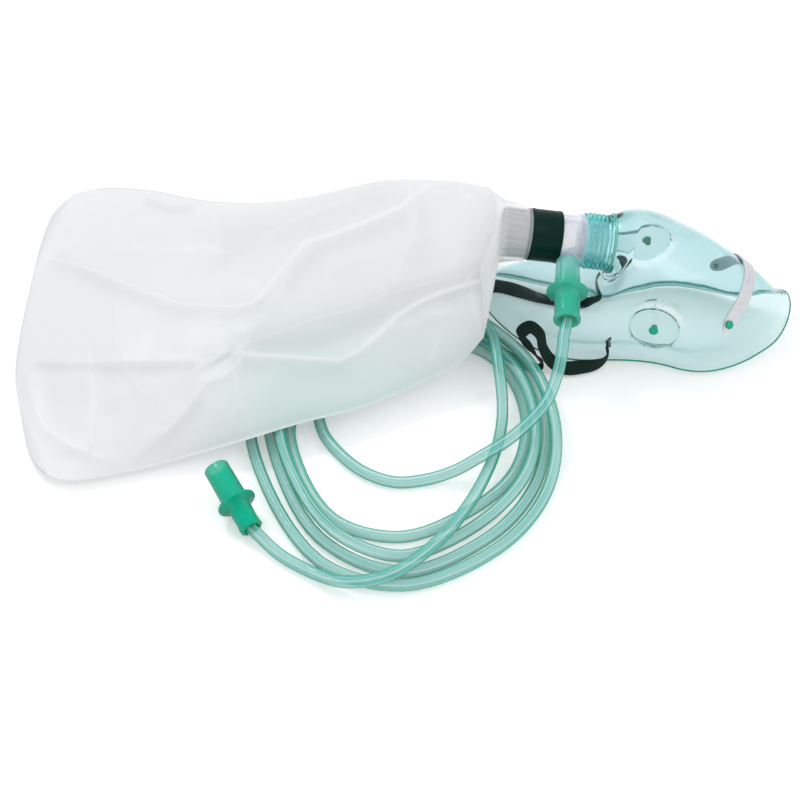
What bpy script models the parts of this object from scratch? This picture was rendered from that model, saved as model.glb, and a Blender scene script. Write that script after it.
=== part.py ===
"""Oxygen face mask with a reservoir bag and its tubing, lying on a table.

Blender 4.5 script in metres, +Z up. Run it with
    blender --background --python part.py
or from Blender's text editor. Every separate piece of the mask is one object.

The pieces are laid out around a point on the table below the bag's neck, and
the empty called layout moves them so that the middle of the mask and bag is
at the origin. +X runs from the bag to the nose, +Y runs away from the viewer.
"""

import math

import bmesh
import bpy
import numpy as np
from mathutils import Matrix, Vector

# Clearances
FIT = 0.0003
CUT_OVER = 0.0020

# Outside of the round ends that the port, the sleeve and the bag's neck fit
ADAPTER_END_DIAMETER = 0.0220

# Where the part's origin lies in the layout
ORIGIN_X = 0.0015
ORIGIN_Y = 0.0535

# Mask shell
MASK_PLANE_Y = 0.0545
CHIN_X = 0.0360
MASK_LENGTH = 0.1570
MASK_WIDTH = 0.0720
MASK_DEPTH = 0.0650
MASK_WALL = 0.0015
CHIN_SKEW = 0.0150
CHIN_SKEW_REACH = 0.0590

# Port of the mask: a ribbed collar that takes the valve adapter
PORT_ALONG = 0.0655
PORT_HEIGHT = 0.0520
PORT_TILT = math.radians(8.0)
PORT_BORE = ADAPTER_END_DIAMETER + 2.0 * FIT
PORT_WALL = 0.0013
PORT_LENGTH = 0.0145
PORT_FLARE = 0.0014
PORT_RIBS = 4
PORT_RIB_HEIGHT = 0.0009

# Exhalation valves, one on each cheek
VALVE_ROW = 4.05
VALVE_BEARING = math.radians(79.0)
VALVE_TWIST = math.radians(2.4)
VALVE_DIAMETER = 0.0228
VALVE_THICKNESS = 0.0008
VALVE_PAD_RIM = 0.0007
VALVE_PAD_PROUD = 0.0012
VALVE_PAD_DEPTH = 0.0036
VALVE_PIN_DIAMETER = 0.0030
VALVE_KNOB_DIAMETER = 0.0044
VALVE_KNOB_HEIGHT = 0.0014
VALVE_HOLE_DIAMETER = 0.0036
VALVE_HOLE_CIRCLE = 0.0066
VALVE_HOLES = 6

# Nose clip: a soft metal strip held by two pins of the shell
CLIP_WIDTH = 0.0066
CLIP_THICKNESS = 0.0007
CLIP_FACET_ROOM = 0.0002
CLIP_ALONG = 0.847
CLIP_TWIST = 0.07
CLIP_SLOPE = math.radians(40.0)
CLIP_REACH = math.radians(48.0)
CLIP_STEPS = 24
CLIP_PIN_DIAMETER = 0.0026
CLIP_PIN_HEAD_DIAMETER = 0.0042
CLIP_PIN_HEAD_HEIGHT = 0.0014

# Elastic strap and the two slots of the shell that it runs through
STRAP_WIDTH = 0.0070
STRAP_THICKNESS = 0.0010
SLOT_X = 0.1010
SLOT_BASE = 0.0030
SLOT_HEIGHT = 0.0052
SLOT_WIDTH = 0.0026
LUG_WALL = 0.0016
LUG_PROUD = 0.0014

# Valve adapter between the mask, the inlet connector and the bag
ADAPTER_WALL = 0.0020
ADAPTER_BORE = ADAPTER_END_DIAMETER - 2.0 * ADAPTER_WALL
ADAPTER_GRIP = 0.0110
ADAPTER_BODY_LENGTH = 0.0106
ADAPTER_BODY_STEP = 0.0003
ADAPTER_BODY_DIAMETER = ADAPTER_END_DIAMETER + 2.0 * ADAPTER_BODY_STEP
ADAPTER_FLANGE_HEIGHT = 0.0016
ADAPTER_FLANGE_DIAMETER = ADAPTER_END_DIAMETER + 2.0 * ADAPTER_FLANGE_HEIGHT
ADAPTER_FLANGE_THICKNESS = 0.0018
INLET_ALONG = 0.0066
INLET_DROP = math.radians(18.0)
INLET_TURN = math.radians(3.5)
INLET_SPIGOT_DIAMETER = 0.0068
INLET_SPIGOT_BORE = 0.0040
INLET_SPIGOT_LENGTH = 0.0105
INLET_STANDOFF = 0.0006
CHECK_VALVE_THICKNESS = 0.0008
CHECK_VALVE_SEAT = 0.0012
CHECK_VALVE_HOLE = 0.0036

# Sleeve that joins the adapter to the bag's collar
SLEEVE_LENGTH = 0.0145
SLEEVE_WALL = 0.0012

# Collar of the reservoir bag
BAG_COLLAR_LENGTH = 0.0128
BAG_COLLAR_FLANGE_HEIGHT = 0.0014
BAG_COLLAR_FLANGE_DIAMETER = ADAPTER_END_DIAMETER + 2.0 * BAG_COLLAR_FLANGE_HEIGHT
BAG_COLLAR_FLANGE_THICKNESS = 0.0014
BAG_COLLAR_RIBS = 4
BAG_COLLAR_RIB_PITCH = 0.0022
BAG_COLLAR_RIB_HEIGHT = 0.0006

# Reservoir bag
BAG_NECK_WALL = 0.0009
BAG_SHOULDER = 0.0018
BAG_SHOULDER_ROOM = 0.0010
BAG_FILL = 1.0

# Tubing and its two connectors
TUBE_DIAMETER = 0.0055
TUBE_SAMPLES_PER_POINT = 1.0
TUBE_INSERTION = 0.0080
FLANGE_THICKNESS = 0.0016
INLET_CONNECTOR_LENGTH = 0.0341
INLET_CONNECTOR_TOP_DIAMETER = 0.0112
INLET_CONNECTOR_WAIST_DIAMETER = 0.0128
INLET_CONNECTOR_FLANGE_DIAMETER = 0.0197
INLET_CONNECTOR_TAIL_DIAMETER = 0.0122
INLET_CONNECTOR_FLANGE_ALONG = 0.0168
END_CONNECTOR_LENGTH = 0.0350
END_CONNECTOR_MOUTH = Vector((-0.0817, -0.0606, 0.0140))
END_CONNECTOR_HEADING = math.radians(121.0)
END_CONNECTOR_RISE = math.radians(14.5)
END_CONNECTOR_BARREL_DIAMETER = 0.0116
END_CONNECTOR_BORE = 0.0090
END_CONNECTOR_FLANGE_DIAMETER = 0.0177
END_CONNECTOR_FLANGE_ALONG = 0.0195
END_CONNECTOR_TAIL_DIAMETER = 0.0090
END_CONNECTOR_TEETH = 8

# Facets of the round pieces
ROUND_STEPS = 32
SMALL_STEPS = 24
SHELL_STEPS = 52
SMOOTH_ANGLE = math.radians(38.0)

# Loft of the shell from the rim (first row) to just before the port, each row
# as fractions of length and depth: the end at the chin, the end at the nose,
# the half width, the dip between the ends, and how round the row has become
SHELL_ROWS = (
    (0.000, 0.165, 0.993, 0.300, 1.000, 0.194, 0.00),
    (0.025, 0.185, 0.974, 0.304, 0.903, 0.1745, 0.02),
    (0.045, 0.232, 0.953, 0.328, 0.880, 0.1565, 0.06),
    (0.083, 0.300, 0.904, 0.452, 0.975, 0.138, 0.18),
    (0.146, 0.377, 0.834, 0.590, 0.990, 0.088, 0.38),
    (0.223, 0.438, 0.755, 0.723, 0.920, 0.038, 0.62),
    (0.299, 0.485, 0.666, 0.845, 0.825, -0.008, 0.82),
    (0.363, 0.523, 0.573, 0.958, 0.694, -0.031, 0.94),
    (0.395, 0.554, 0.478, 1.015, 0.528, -0.023, 1.00),
)

# How late the low rows turn up towards the nose, and how soon that dies away
# as the rows get rounder
NOSE_TURN = 6
NOSE_BLEND = 1.6

# Fullness of the rim's outline against an ellipse, from the chin to the nose,
# and how far the nose half leans to the near side
RIM_FULLNESS = (
    (-1.00, 1.10), (-0.80, 1.06), (-0.50, 0.93), (-0.30, 0.82), (-0.10, 0.77),
    (0.10, 0.84), (0.30, 1.02), (0.45, 1.08), (0.60, 1.06), (0.70, 1.04),
    (0.80, 1.05), (0.90, 1.20), (1.00, 1.32),
)
RIM_LEAN = 0.17

# Edges of the flat bag: the closed end, the long far side, the long near side
# and the side at the neck
BAG_LEFT = (
    (-0.1573, -0.0568, 0.0045), (-0.1687, -0.0419, 0.0045), (-0.1784, -0.0115, 0.0045),
    (-0.1845, 0.0120, 0.0045), (-0.1872, 0.0400, 0.0048), (-0.1884, 0.0800, 0.0050),
    (-0.1887, 0.1200, 0.0050), (-0.1860, 0.1450, 0.0052), (-0.1780, 0.1610, 0.0055),
)
BAG_FAR = (
    (-0.1780, 0.1610, 0.0055), (-0.1640, 0.1660, 0.0062), (-0.1362, 0.1615, 0.0080),
    (-0.1077, 0.1498, 0.0100), (-0.0803, 0.1442, 0.0120), (-0.0588, 0.1442, 0.0140),
    (-0.0374, 0.1464, 0.0170), (-0.0107, 0.1500, 0.0220), (0.0106, 0.1440, 0.0270),
    (0.0300, 0.1310, 0.0340), (0.0430, 0.1170, 0.0400),
)
BAG_NEAR = (
    (-0.1573, -0.0568, 0.0045), (-0.1457, -0.0590, 0.0045), (-0.1261, -0.0549, 0.0045),
    (-0.1086, -0.0496, 0.0048), (-0.0907, -0.0450, 0.0075), (-0.0680, -0.0400, 0.0120),
    (-0.0458, -0.0304, 0.0125), (-0.0185, -0.0202, 0.0127), (0.0094, -0.0034, 0.0132),
    (0.0284, 0.0075, 0.0165), (0.0400, 0.0205, 0.0215),
)
BAG_RIGHT = (
    (0.0400, 0.0205, 0.0215), (0.0440, 0.0520, 0.0330), (0.0450, 0.0850, 0.0400),
    (0.0430, 0.1170, 0.0400),
)

# Places along the bag where it has a ring, the height that gas gives the upper
# sheet against the share of the bag's length, and the height of its underside
BAG_PLACES = (
    0.0, 0.012, 0.03, 0.06, 0.10, 0.16, 0.23, 0.30, 0.37, 0.44,
    0.51, 0.58, 0.65, 0.72, 0.79, 0.86, 0.92, 0.965, 1.0,
)
BAG_CROWN = (
    (0.00, 0.008), (0.08, 0.012), (0.20, 0.017), (0.40, 0.021),
    (0.60, 0.023), (0.80, 0.023), (0.93, 0.021), (1.00, 0.018),
)
BAG_UNDER = (
    (-0.190, 0.0010), (-0.118, 0.0010), (-0.090, 0.0042), (-0.062, 0.0130),
    (-0.006, 0.0132), (0.015, 0.0170), (0.030, 0.0218), (0.045, 0.0300),
)
BAG_WELD = 0.0042
BAG_FLAT_LENGTH = 0.232
BAG_ACROSS = 19

# Middle of the strap, then the way its width points and the share of the
# width that shows where it is gathered: the tail beyond the far slot, the
# stretch between the two slots, and the tail inside the near slot
STRAP_TAIL_FAR = (
    (0.1190, 0.1030, 0.0045, 0.2, 0.4, 0.8, 0.70), (0.1115, 0.1010, 0.0045, 0.3, 0.3, 0.8, 0.70),
    (0.1065, 0.0930, 0.0048, 0.0, 0.0, 1.0, 0.62), (0.1025, 0.0870, 0.0054, 0.0, 0.0, 1.0, 0.62),
)
STRAP_BETWEEN = (
    (0.0975, 0.0722, 0.0048, 0.1, 0.1, 1.0, 0.66), (0.0930, 0.0705, 0.0038, 0.0, 0.5, 0.8, 0.80),
    (0.0860, 0.0715, 0.0028, 0.1, 0.8, 0.4, 1.00), (0.0775, 0.0738, 0.0019, 0.3, 1.0, 0.1, 1.00),
    (0.0700, 0.0762, 0.0017, 0.3, 1.0, 0.1, 1.00), (0.0635, 0.0790, 0.0022, 0.3, 0.9, 0.4, 1.00),
    (0.0560, 0.0818, 0.0030, 0.2, 0.7, 0.7, 1.00), (0.0450, 0.0850, 0.0030, 0.1, 0.7, 0.7, 1.00),
    (0.0300, 0.0930, 0.0010, 0.4, 1.0, 0.0, 1.00), (0.0140, 0.0990, 0.0009, 0.1, 1.0, 0.0, 1.00),
    (0.0030, 0.0960, 0.0009, 1.0, 0.0, 0.0, 1.00), (0.0045, 0.0875, 0.0009, 0.9, -0.6, 0.0, 1.00),
    (0.0170, 0.0850, 0.0009, -0.4, -1.0, 0.0, 1.00), (0.0280, 0.0770, 0.0009, -0.7, -0.7, 0.0, 1.00),
    (0.0335, 0.0660, 0.0009, -1.0, -0.4, 0.0, 1.00), (0.0365, 0.0530, 0.0009, -1.0, -0.3, 0.0, 1.00),
    (0.0430, 0.0410, 0.0009, -0.9, -0.6, 0.0, 1.00), (0.0519, 0.0320, 0.0009, -0.7, -0.7, 0.0, 1.00),
    (0.0600, 0.0250, 0.0009, -0.6, -0.8, 0.0, 1.00), (0.0665, 0.0216, 0.0016, -0.3, -1.0, 0.1, 1.00),
    (0.0690, 0.0212, 0.0045, 0.0, -1.0, 0.0, 0.90), (0.0655, 0.0222, 0.0090, 0.3, -0.8, 0.2, 0.90),
    (0.0610, 0.0245, 0.0145, 0.7, -0.6, 0.3, 0.90), (0.0582, 0.0262, 0.0195, 0.5, -0.8, -0.3, 1.00),
    (0.0622, 0.0272, 0.0226, 0.0, -0.9, -0.4, 1.00), (0.0672, 0.0262, 0.0188, -0.5, -0.8, -0.3, 0.90),
    (0.0688, 0.0235, 0.0129, -0.7, -0.7, -0.1, 0.80), (0.0732, 0.0205, 0.0068, -0.4, -0.7, -0.5, 0.95),
    (0.0800, 0.0180, 0.0046, 0.0, -0.6, -0.8, 1.00), (0.0875, 0.0190, 0.0044, 0.1, -0.6, -0.8, 1.00),
    (0.0945, 0.0202, 0.0048, 0.0, -0.3, -1.0, 0.85), (0.0988, 0.0225, 0.0054, 0.0, 0.0, -1.0, 0.66),
)
STRAP_TAIL_NEAR = (
    (0.1018, 0.0362, 0.0056, 0.0, 0.0, -1.0, 0.62), (0.1032, 0.0376, 0.0056, 0.0, 0.0, -1.0, 0.70),
)
STRAP_SLOT_SHARE = 0.62
STRAP_SLOT_REACH = 0.0036
STRAP_STEPS = 3

# Route of the tubing after it leaves the inlet connector: it falls to the
# table, runs five times round under the bag, and comes out at the end
# connector. A height of about half the diameter is on the table, and the
# larger ones are where it lies across the strap or an earlier turn
TUBE_ROUTE = (
    (0.0757, 0.0017, 0.0382), (0.0745, -0.0060, 0.0345), (0.0719, -0.0152, 0.0285),
    (0.0669, -0.0262, 0.0230), (0.0589, -0.0353, 0.0190), (0.0487, -0.0441, 0.0155),
    (0.0373, -0.0511, 0.0128), (0.0243, -0.0542, 0.0058), (0.0108, -0.0573, 0.0032),
    (-0.0027, -0.0583, 0.0029), (-0.0163, -0.0519, 0.0029), (-0.0274, -0.0401, 0.0029),
    (-0.0357, -0.0254, 0.0029), (-0.0380, -0.0060, 0.0029), (-0.0280, 0.0200, 0.0029),
    (-0.0080, 0.0360, 0.0029), (0.0150, 0.0400, 0.0029), (0.0386, 0.0318, 0.0042),
    (0.0525, 0.0140, 0.0036), (0.0589, -0.0172, 0.0029), (0.0510, -0.0532, 0.0029),
    (0.0291, -0.0776, 0.0029), (0.0000, -0.0921, 0.0029), (-0.0294, -0.0813, 0.0029),
    (-0.0510, -0.0268, 0.0029), (-0.0460, -0.0020, 0.0029), (-0.0370, 0.0270, 0.0029),
    (-0.0120, 0.0450, 0.0040), (0.0150, 0.0485, 0.0070), (0.0403, 0.0298, 0.0112),
    (0.0554, 0.0109, 0.0096), (0.0622, -0.0263, 0.0088), (0.0554, -0.0598, 0.0076),
    (0.0341, -0.0848, 0.0034), (0.0009, -0.1033, 0.0029), (-0.0285, -0.0940, 0.0086),
    (-0.0542, -0.0381, 0.0092), (-0.0530, -0.0010, 0.0060), (-0.0440, 0.0330, 0.0029),
    (-0.0170, 0.0540, 0.0034), (0.0170, 0.0570, 0.0048), (0.0434, 0.0415, 0.0050),
    (0.0609, 0.0184, 0.0048), (0.0674, -0.0227, 0.0029), (0.0605, -0.0602, 0.0029),
    (0.0395, -0.0915, 0.0029), (0.0009, -0.1125, 0.0029), (-0.0343, -0.0933, 0.0029),
    (-0.0595, -0.0308, 0.0029), (-0.0610, 0.0020, 0.0029), (-0.0490, 0.0410, 0.0029),
    (-0.0200, 0.0630, 0.0032), (0.0180, 0.0665, 0.0076), (0.0455, 0.0389, 0.0118),
    (0.0636, 0.0117, 0.0104), (0.0717, -0.0297, 0.0082), (0.0651, -0.0657, 0.0034),
    (0.0418, -0.0992, 0.0029), (0.0017, -0.1199, 0.0029), (-0.0342, -0.1068, 0.0029),
    (-0.0681, -0.0335, 0.0029), (-0.0670, 0.0060, 0.0029), (-0.0530, 0.0480, 0.0029),
    (-0.0230, 0.0730, 0.0040), (0.0170, 0.0760, 0.0126), (0.0426, 0.0322, 0.0178),
    (0.0468, 0.0052, 0.0150), (0.0475, -0.0197, 0.0046), (0.0360, -0.0650, 0.0083),
    (0.0163, -0.1004, 0.0092), (-0.0050, -0.1199, 0.0092), (-0.0222, -0.1222, 0.0074),
    (-0.0387, -0.1120, 0.0029), (-0.0516, -0.1027, 0.0031),
)


def clear_scene():
    """Remove what the scene holds before the mask is built."""
    for item in list(bpy.data.objects):
        bpy.data.objects.remove(item, do_unlink=True)


def make_material(name, colour, roughness, metallic=0.0, alpha=1.0):
    """A Principled material with one colour."""
    material = bpy.data.materials.new(name)
    material.use_nodes = True
    shader = material.node_tree.nodes["Principled BSDF"]
    shader.inputs["Base Color"].default_value = (*colour, 1.0)
    shader.inputs["Roughness"].default_value = roughness
    shader.inputs["Metallic"].default_value = metallic
    shader.inputs["Alpha"].default_value = alpha
    return material


def add_object(name, mesh, parent, material=None):
    """Link a mesh as an object under its parent."""
    item = bpy.data.objects.new(name, mesh)
    bpy.context.scene.collection.objects.link(item)
    item.parent = parent
    if material:
        mesh.materials.append(material)
    return item


def mesh_from_rings(name, rings, closed=False, flat_start=False):
    """Skin a list of rings, either into a ring-shaped body or with two caps.

    A flat start is closed by a strip between the two halves of the first ring.
    """
    mesh = bpy.data.meshes.new(name)
    bm = bmesh.new()
    loops = [[bm.verts.new(point) for point in ring] for ring in rings]
    count = len(loops[0])
    pairs = list(zip(loops, loops[1:]))
    if closed:
        pairs.append((loops[-1], loops[0]))
    for here, there in pairs:
        for i in range(count):
            j = (i + 1) % count
            bm.faces.new((here[i], here[j], there[j], there[i]))
    if flat_start:
        first = loops[0]
        for i in range(count // 2 - 1):
            bm.faces.new((first[i + 1], first[i], first[count - 1 - i], first[count - 2 - i]))
    elif not closed:
        bm.faces.new(list(reversed(loops[0])))
    if not closed:
        bm.faces.new(loops[-1])
    bmesh.ops.recalc_face_normals(bm, faces=bm.faces)
    bm.to_mesh(mesh)
    bm.free()
    mesh.shade_smooth()
    mesh.set_sharp_from_angle(angle=SMOOTH_ANGLE)
    return mesh


def turned_rings(profile, steps):
    """Rings of a profile of (radius, height) pairs turned about Z."""
    turns = [2.0 * math.pi * i / steps for i in range(steps)]
    return [
        [Vector((radius * math.cos(a), radius * math.sin(a), height)) for a in turns]
        for radius, height in profile
    ]


def turned_mesh(name, profile, steps, bored=True):
    """A turned body; a bored one has a profile that runs all the way round."""
    return mesh_from_rings(name, turned_rings(profile, steps), closed=bored)


def boolean(item, cutter, operation):
    """Add an exact Boolean and keep the cutter out of the model."""
    change = item.modifiers.new(cutter.name, "BOOLEAN")
    change.operation = operation
    change.solver = "EXACT"
    change.object = cutter
    cutter.hide_render = True
    cutter.display_type = "WIRE"


def between(table, place):
    """Read a table of rows at a fractional row number, on a smooth curve."""
    rows = [np.array(row, dtype=float) for row in table]
    last = len(rows) - 1
    place = min(max(place, 0.0), float(last))
    i = min(int(place), last - 1)
    t = place - i
    before = rows[i - 1] if i > 0 else 2.0 * rows[0] - rows[1]
    after = rows[i + 2] if i + 2 <= last else 2.0 * rows[last] - rows[last - 1]
    start = rows[i]
    end = rows[i + 1]
    return 0.5 * (
        2.0 * start
        + (end - before) * t
        + (2.0 * before - 5.0 * start + 4.0 * end - after) * t ** 2
        + (3.0 * start - before - 3.0 * end + after) * t ** 3
    )


def fullness(along):
    """Fullness of the rim's outline at a place from -1, chin, to 1, nose."""
    places = [row[0] for row in RIM_FULLNESS]
    i = max(1, int(np.searchsorted(places, along)))
    i = min(i, len(places) - 1)
    part = (along - places[i - 1]) / (places[i] - places[i - 1])
    return float(between([(row[1],) for row in RIM_FULLNESS], i - 1 + part)[0])


def port_axis():
    """Direction of the port, out of the mask and towards the bag."""
    return Vector((-math.cos(PORT_TILT), 0.0, math.sin(PORT_TILT)))


def port_base():
    """Middle of the port where it leaves the shell."""
    return Vector((CHIN_X + PORT_ALONG, MASK_PLANE_Y, PORT_HEIGHT))


def port_ring(distance, radius, bearings):
    """A ring round the port's axis, with bearing 0 at its top."""
    axis = port_axis()
    top = Vector((math.sin(PORT_TILT), 0.0, math.cos(PORT_TILT)))
    side = Vector((0.0, 1.0, 0.0))
    middle = port_base() + axis * distance
    return [middle + top * (radius * math.cos(a)) + side * (radius * math.sin(a)) for a in bearings]


def shell_rise(along, chin_up, nose_up, dip, roundness):
    """Height of a row as a share of the depth, at a place from -1 to 1."""
    middle = (chin_up + nose_up) / 2.0 - dip
    slope = (nose_up - chin_up) / 2.0
    plain = middle + slope * along + dip * along ** 2
    if along <= 0.0:
        return plain
    late = middle + slope * along * (1.0 - along) ** 2 + (nose_up - middle) * along ** NOSE_TURN
    return late + (plain - late) * min(1.0, NOSE_BLEND * roundness)


def shell_point(row, bearing):
    """Point of the shell's outside; bearing 0 is the nose and pi the chin."""
    chin_at, chin_up, nose_at, nose_up, half, dip, roundness = between(SHELL_ROWS, row)
    along = math.cos(bearing)
    share = (along + 1.0) / 2.0
    x = CHIN_X + MASK_LENGTH * (chin_at + (nose_at - chin_at) * share)
    z = MASK_DEPTH * shell_rise(along, chin_up, nose_up, dip, roundness)
    swell = fullness(along) * (1.0 - roundness) + roundness
    lean = RIM_LEAN * (1.0 - roundness) * min(1.0, max(0.0, (along - 0.2) / 0.6))
    across = math.sin(bearing)
    y = MASK_PLANE_Y + 0.5 * MASK_WIDTH * half * (across * swell - abs(across) * lean)
    slip = max(0.0, CHIN_X + CHIN_SKEW_REACH - x) / CHIN_SKEW_REACH
    y += CHIN_SKEW * 1.7 * slip ** 2
    return Vector((x, y, z))


def shell_frame(row, bearing):
    """Point, outward normal and direction towards the nose on the shell."""
    step = 0.01
    point = shell_point(row, bearing)
    up = shell_point(row + step, bearing) - shell_point(row - step, bearing)
    round_way = shell_point(row, bearing + step) - shell_point(row, bearing - step)
    normal = round_way.cross(up).normalized()
    outward = point - Vector((point.x, MASK_PLANE_Y, 0.0))
    if normal.dot(outward) < 0.0:
        normal = -normal
    return point, normal, round_way.normalized()


def shell_rings():
    """Rings of the mask from the rim over the dome and port, and back inside."""
    bearings = [2.0 * math.pi * i / SHELL_STEPS for i in range(SHELL_STEPS)]
    last = len(SHELL_ROWS) - 1
    rows = [last * i / 11.0 for i in range(12)]
    outside = [[shell_point(row, a) for a in bearings] for row in rows]
    inside = []
    for row, ring in zip(rows, outside):
        frames = [shell_frame(max(row, 0.02), a) for a in bearings]
        inside.append([point - frame[1] * MASK_WALL for point, frame in zip(ring, frames)])
    bore = PORT_BORE / 2.0
    wall = bore + PORT_WALL
    collar = [port_ring(0.0, wall + PORT_FLARE, bearings)]
    collar.append(port_ring(PORT_FLARE, wall, bearings))
    pitch = (PORT_LENGTH - 2.0 * PORT_FLARE) / PORT_RIBS
    for i in range(PORT_RIBS):
        start = PORT_FLARE + pitch * i
        collar.append(port_ring(start + pitch * 0.30, wall, bearings))
        collar.append(port_ring(start + pitch * 0.48, wall + PORT_RIB_HEIGHT, bearings))
        collar.append(port_ring(start + pitch * 0.78, wall + PORT_RIB_HEIGHT, bearings))
        collar.append(port_ring(start + pitch * 0.96, wall, bearings))
    collar.append(port_ring(PORT_LENGTH, wall, bearings))
    collar.append(port_ring(PORT_LENGTH, bore, bearings))
    collar.append(port_ring(PORT_FLARE * 0.5, bore, bearings))
    collar.append(port_ring(-MASK_WALL, bore + 0.5 * PORT_FLARE, bearings))
    return outside + collar + list(reversed(inside[:-1]))


def along_axis(point, direction):
    """Transform that carries Z onto a direction at a point."""
    turn = direction.to_track_quat("Z", "Y").to_matrix().to_4x4()
    return Matrix.Translation(point) @ turn


def build_shell(layout, material):
    """Mask shell: dome, rim, port, valve seats, clip pins and strap lugs."""
    dome = mesh_from_rings("mask_shell", shell_rings(), closed=True)
    shell = add_object("mask_shell", dome, layout, material)
    for name, sign in (("near", -1.0), ("far", 1.0)):
        point, normal, _ = shell_frame(VALVE_ROW, sign * VALVE_BEARING - VALVE_TWIST)
        seat = along_axis(point, normal)
        pad = turned_mesh("pad_" + name, pad_profile(), ROUND_STEPS, bored=False)
        pad.transform(seat)
        boolean(shell, add_object("pad_" + name, pad, layout, material), "UNION")
        drills = hole_circle_mesh("holes_" + name)
        drills.transform(seat)
        boolean(shell, add_object("holes_" + name, drills, layout), "DIFFERENCE")
    for name, sign in (("near", -1.0), ("far", 1.0)):
        pin = turned_mesh("clip_pin_" + name, clip_pin_profile(), 16, bored=False)
        pin.transform(clip_seat(sign))
        boolean(shell, add_object("clip_pin_" + name, pin, layout, material), "UNION")
        lug, slot = strap_lug(name, sign, layout, material)
        boolean(shell, lug, "UNION")
        boolean(shell, slot, "DIFFERENCE")
    return shell


def hole_circle_mesh(name):
    """Round bars, one for each hole through the seat of a valve."""
    reach = VALVE_PAD_DEPTH + MASK_WALL
    bars = bmesh.new()
    for i in range(VALVE_HOLES):
        turn = 2.0 * math.pi * (i + 0.37) / VALVE_HOLES
        profile = cylinder_profile(VALVE_HOLE_DIAMETER / 2.0, -reach, reach)
        bar = turned_mesh("bar", profile, 12, bored=False)
        across = VALVE_HOLE_CIRCLE * math.cos(turn)
        upward = VALVE_HOLE_CIRCLE * math.sin(turn)
        bar.transform(Matrix.Translation((across, upward, 0.0)))
        bars.from_mesh(bar)
        bpy.data.meshes.remove(bar)
    mesh = bpy.data.meshes.new(name)
    bars.to_mesh(mesh)
    bars.free()
    return mesh


def cylinder_profile(radius, low, high):
    """Profile of a plain round bar between two heights."""
    return [(radius, low), (radius, high)]


def pad_profile():
    """Flat seat of an exhalation valve with the pin that holds its disc."""
    seat = VALVE_DIAMETER / 2.0 + VALVE_PAD_RIM
    pin = VALVE_PIN_DIAMETER / 2.0
    knob = VALVE_KNOB_DIAMETER / 2.0
    under = VALVE_PAD_PROUD + VALVE_THICKNESS + 2.0 * FIT
    return [
        (seat - 0.8 * VALVE_PAD_RIM, -VALVE_PAD_DEPTH + VALVE_PAD_PROUD),
        (seat, -0.5 * VALVE_PAD_DEPTH),
        (seat, VALVE_PAD_PROUD),
        (pin, VALVE_PAD_PROUD),
        (pin, under),
        (knob, under),
        (knob, under + 0.5 * VALVE_KNOB_HEIGHT),
        (0.55 * knob, under + VALVE_KNOB_HEIGHT),
    ]


def clip_pin_profile():
    """Pin that stands on the shell, passes the clip and ends in a head."""
    pin = CLIP_PIN_DIAMETER / 2.0
    head = CLIP_PIN_HEAD_DIAMETER / 2.0
    under = CLIP_THICKNESS + 3.0 * FIT
    return [
        (pin, -0.7 * MASK_WALL),
        (pin, under),
        (head, under),
        (head, under + 0.5 * CLIP_PIN_HEAD_HEIGHT),
        (0.5 * head, under + CLIP_PIN_HEAD_HEIGHT),
    ]


def clip_point(bearing, offset):
    """Point, normal and row where a plane across the nose meets the shell."""
    plane = Vector((math.cos(CLIP_SLOPE), -CLIP_TWIST, -math.sin(CLIP_SLOPE))).normalized()
    low = 0.5
    high = float(len(SHELL_ROWS) - 1)
    ridge_low = 0.0
    ridge_high = float(len(SHELL_ROWS) - 1)
    for _ in range(30):
        middle = (ridge_low + ridge_high) / 2.0
        if shell_point(middle, 0.0).x > CHIN_X + CLIP_ALONG * MASK_LENGTH:
            ridge_low = middle
        else:
            ridge_high = middle
    ridge = shell_point(ridge_low, 0.0)
    for _ in range(30):
        middle = (low + high) / 2.0
        if (shell_point(middle, bearing) - ridge).dot(plane) > offset:
            low = middle
        else:
            high = middle
    point, normal, _ = shell_frame(low, bearing)
    return point, normal


def clip_seat(sign):
    """Transform of a clip pin: on the shell near the end of the clip."""
    inner = CLIP_REACH * (1.0 - 2.2 / CLIP_STEPS)
    point, normal = clip_point(sign * inner, 0.0)
    return along_axis(point, normal)


def strap_lug(name, sign, layout, material):
    """Thickened patch of the wall round a strap slot, and the slot's cutter."""
    wall = slot_wall(sign)
    tall = SLOT_HEIGHT + 2.0 * LUG_WALL
    wide = SLOT_WIDTH + 2.0 * LUG_WALL
    middle = Vector((SLOT_X, wall, SLOT_BASE + SLOT_HEIGHT / 2.0))
    deep = 2.0 * LUG_PROUD + MASK_WALL
    lug = add_object("lug_" + name, box_mesh("lug_" + name, (wide, deep, tall)), layout, material)
    lug.location = middle
    round_edges(lug, 0.0009)
    slot_size = (SLOT_WIDTH, deep + 4.0 * CUT_OVER, SLOT_HEIGHT)
    slot = add_object("slot_" + name, box_mesh("slot_" + name, slot_size), layout)
    slot.location = middle
    round_edges(slot, 0.0006)
    return lug, slot


def slot_wall(sign):
    """Where the wall stands across the mask at the strap's slots."""
    best = None
    for row in np.linspace(0.0, 3.0, 25):
        for bearing in np.linspace(math.radians(80.0), math.radians(110.0), 25):
            point = shell_point(float(row), sign * float(bearing))
            miss = abs(point.x - SLOT_X) + abs(point.z - SLOT_BASE - SLOT_HEIGHT / 2.0)
            if best is None or miss < best[0]:
                best = (miss, point.y)
    return best[1] - sign * MASK_WALL / 2.0


def box_mesh(name, size):
    """A box around its own middle."""
    mesh = bpy.data.meshes.new(name)
    bm = bmesh.new()
    bmesh.ops.create_cube(bm, size=1.0)
    bmesh.ops.scale(bm, vec=size, verts=bm.verts)
    bm.to_mesh(mesh)
    bm.free()
    return mesh


def round_edges(item, width):
    """Chamfer every edge of a piece with one segment."""
    edge = item.modifiers.new("edges", "BEVEL")
    edge.width = width
    edge.segments = 1


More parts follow.
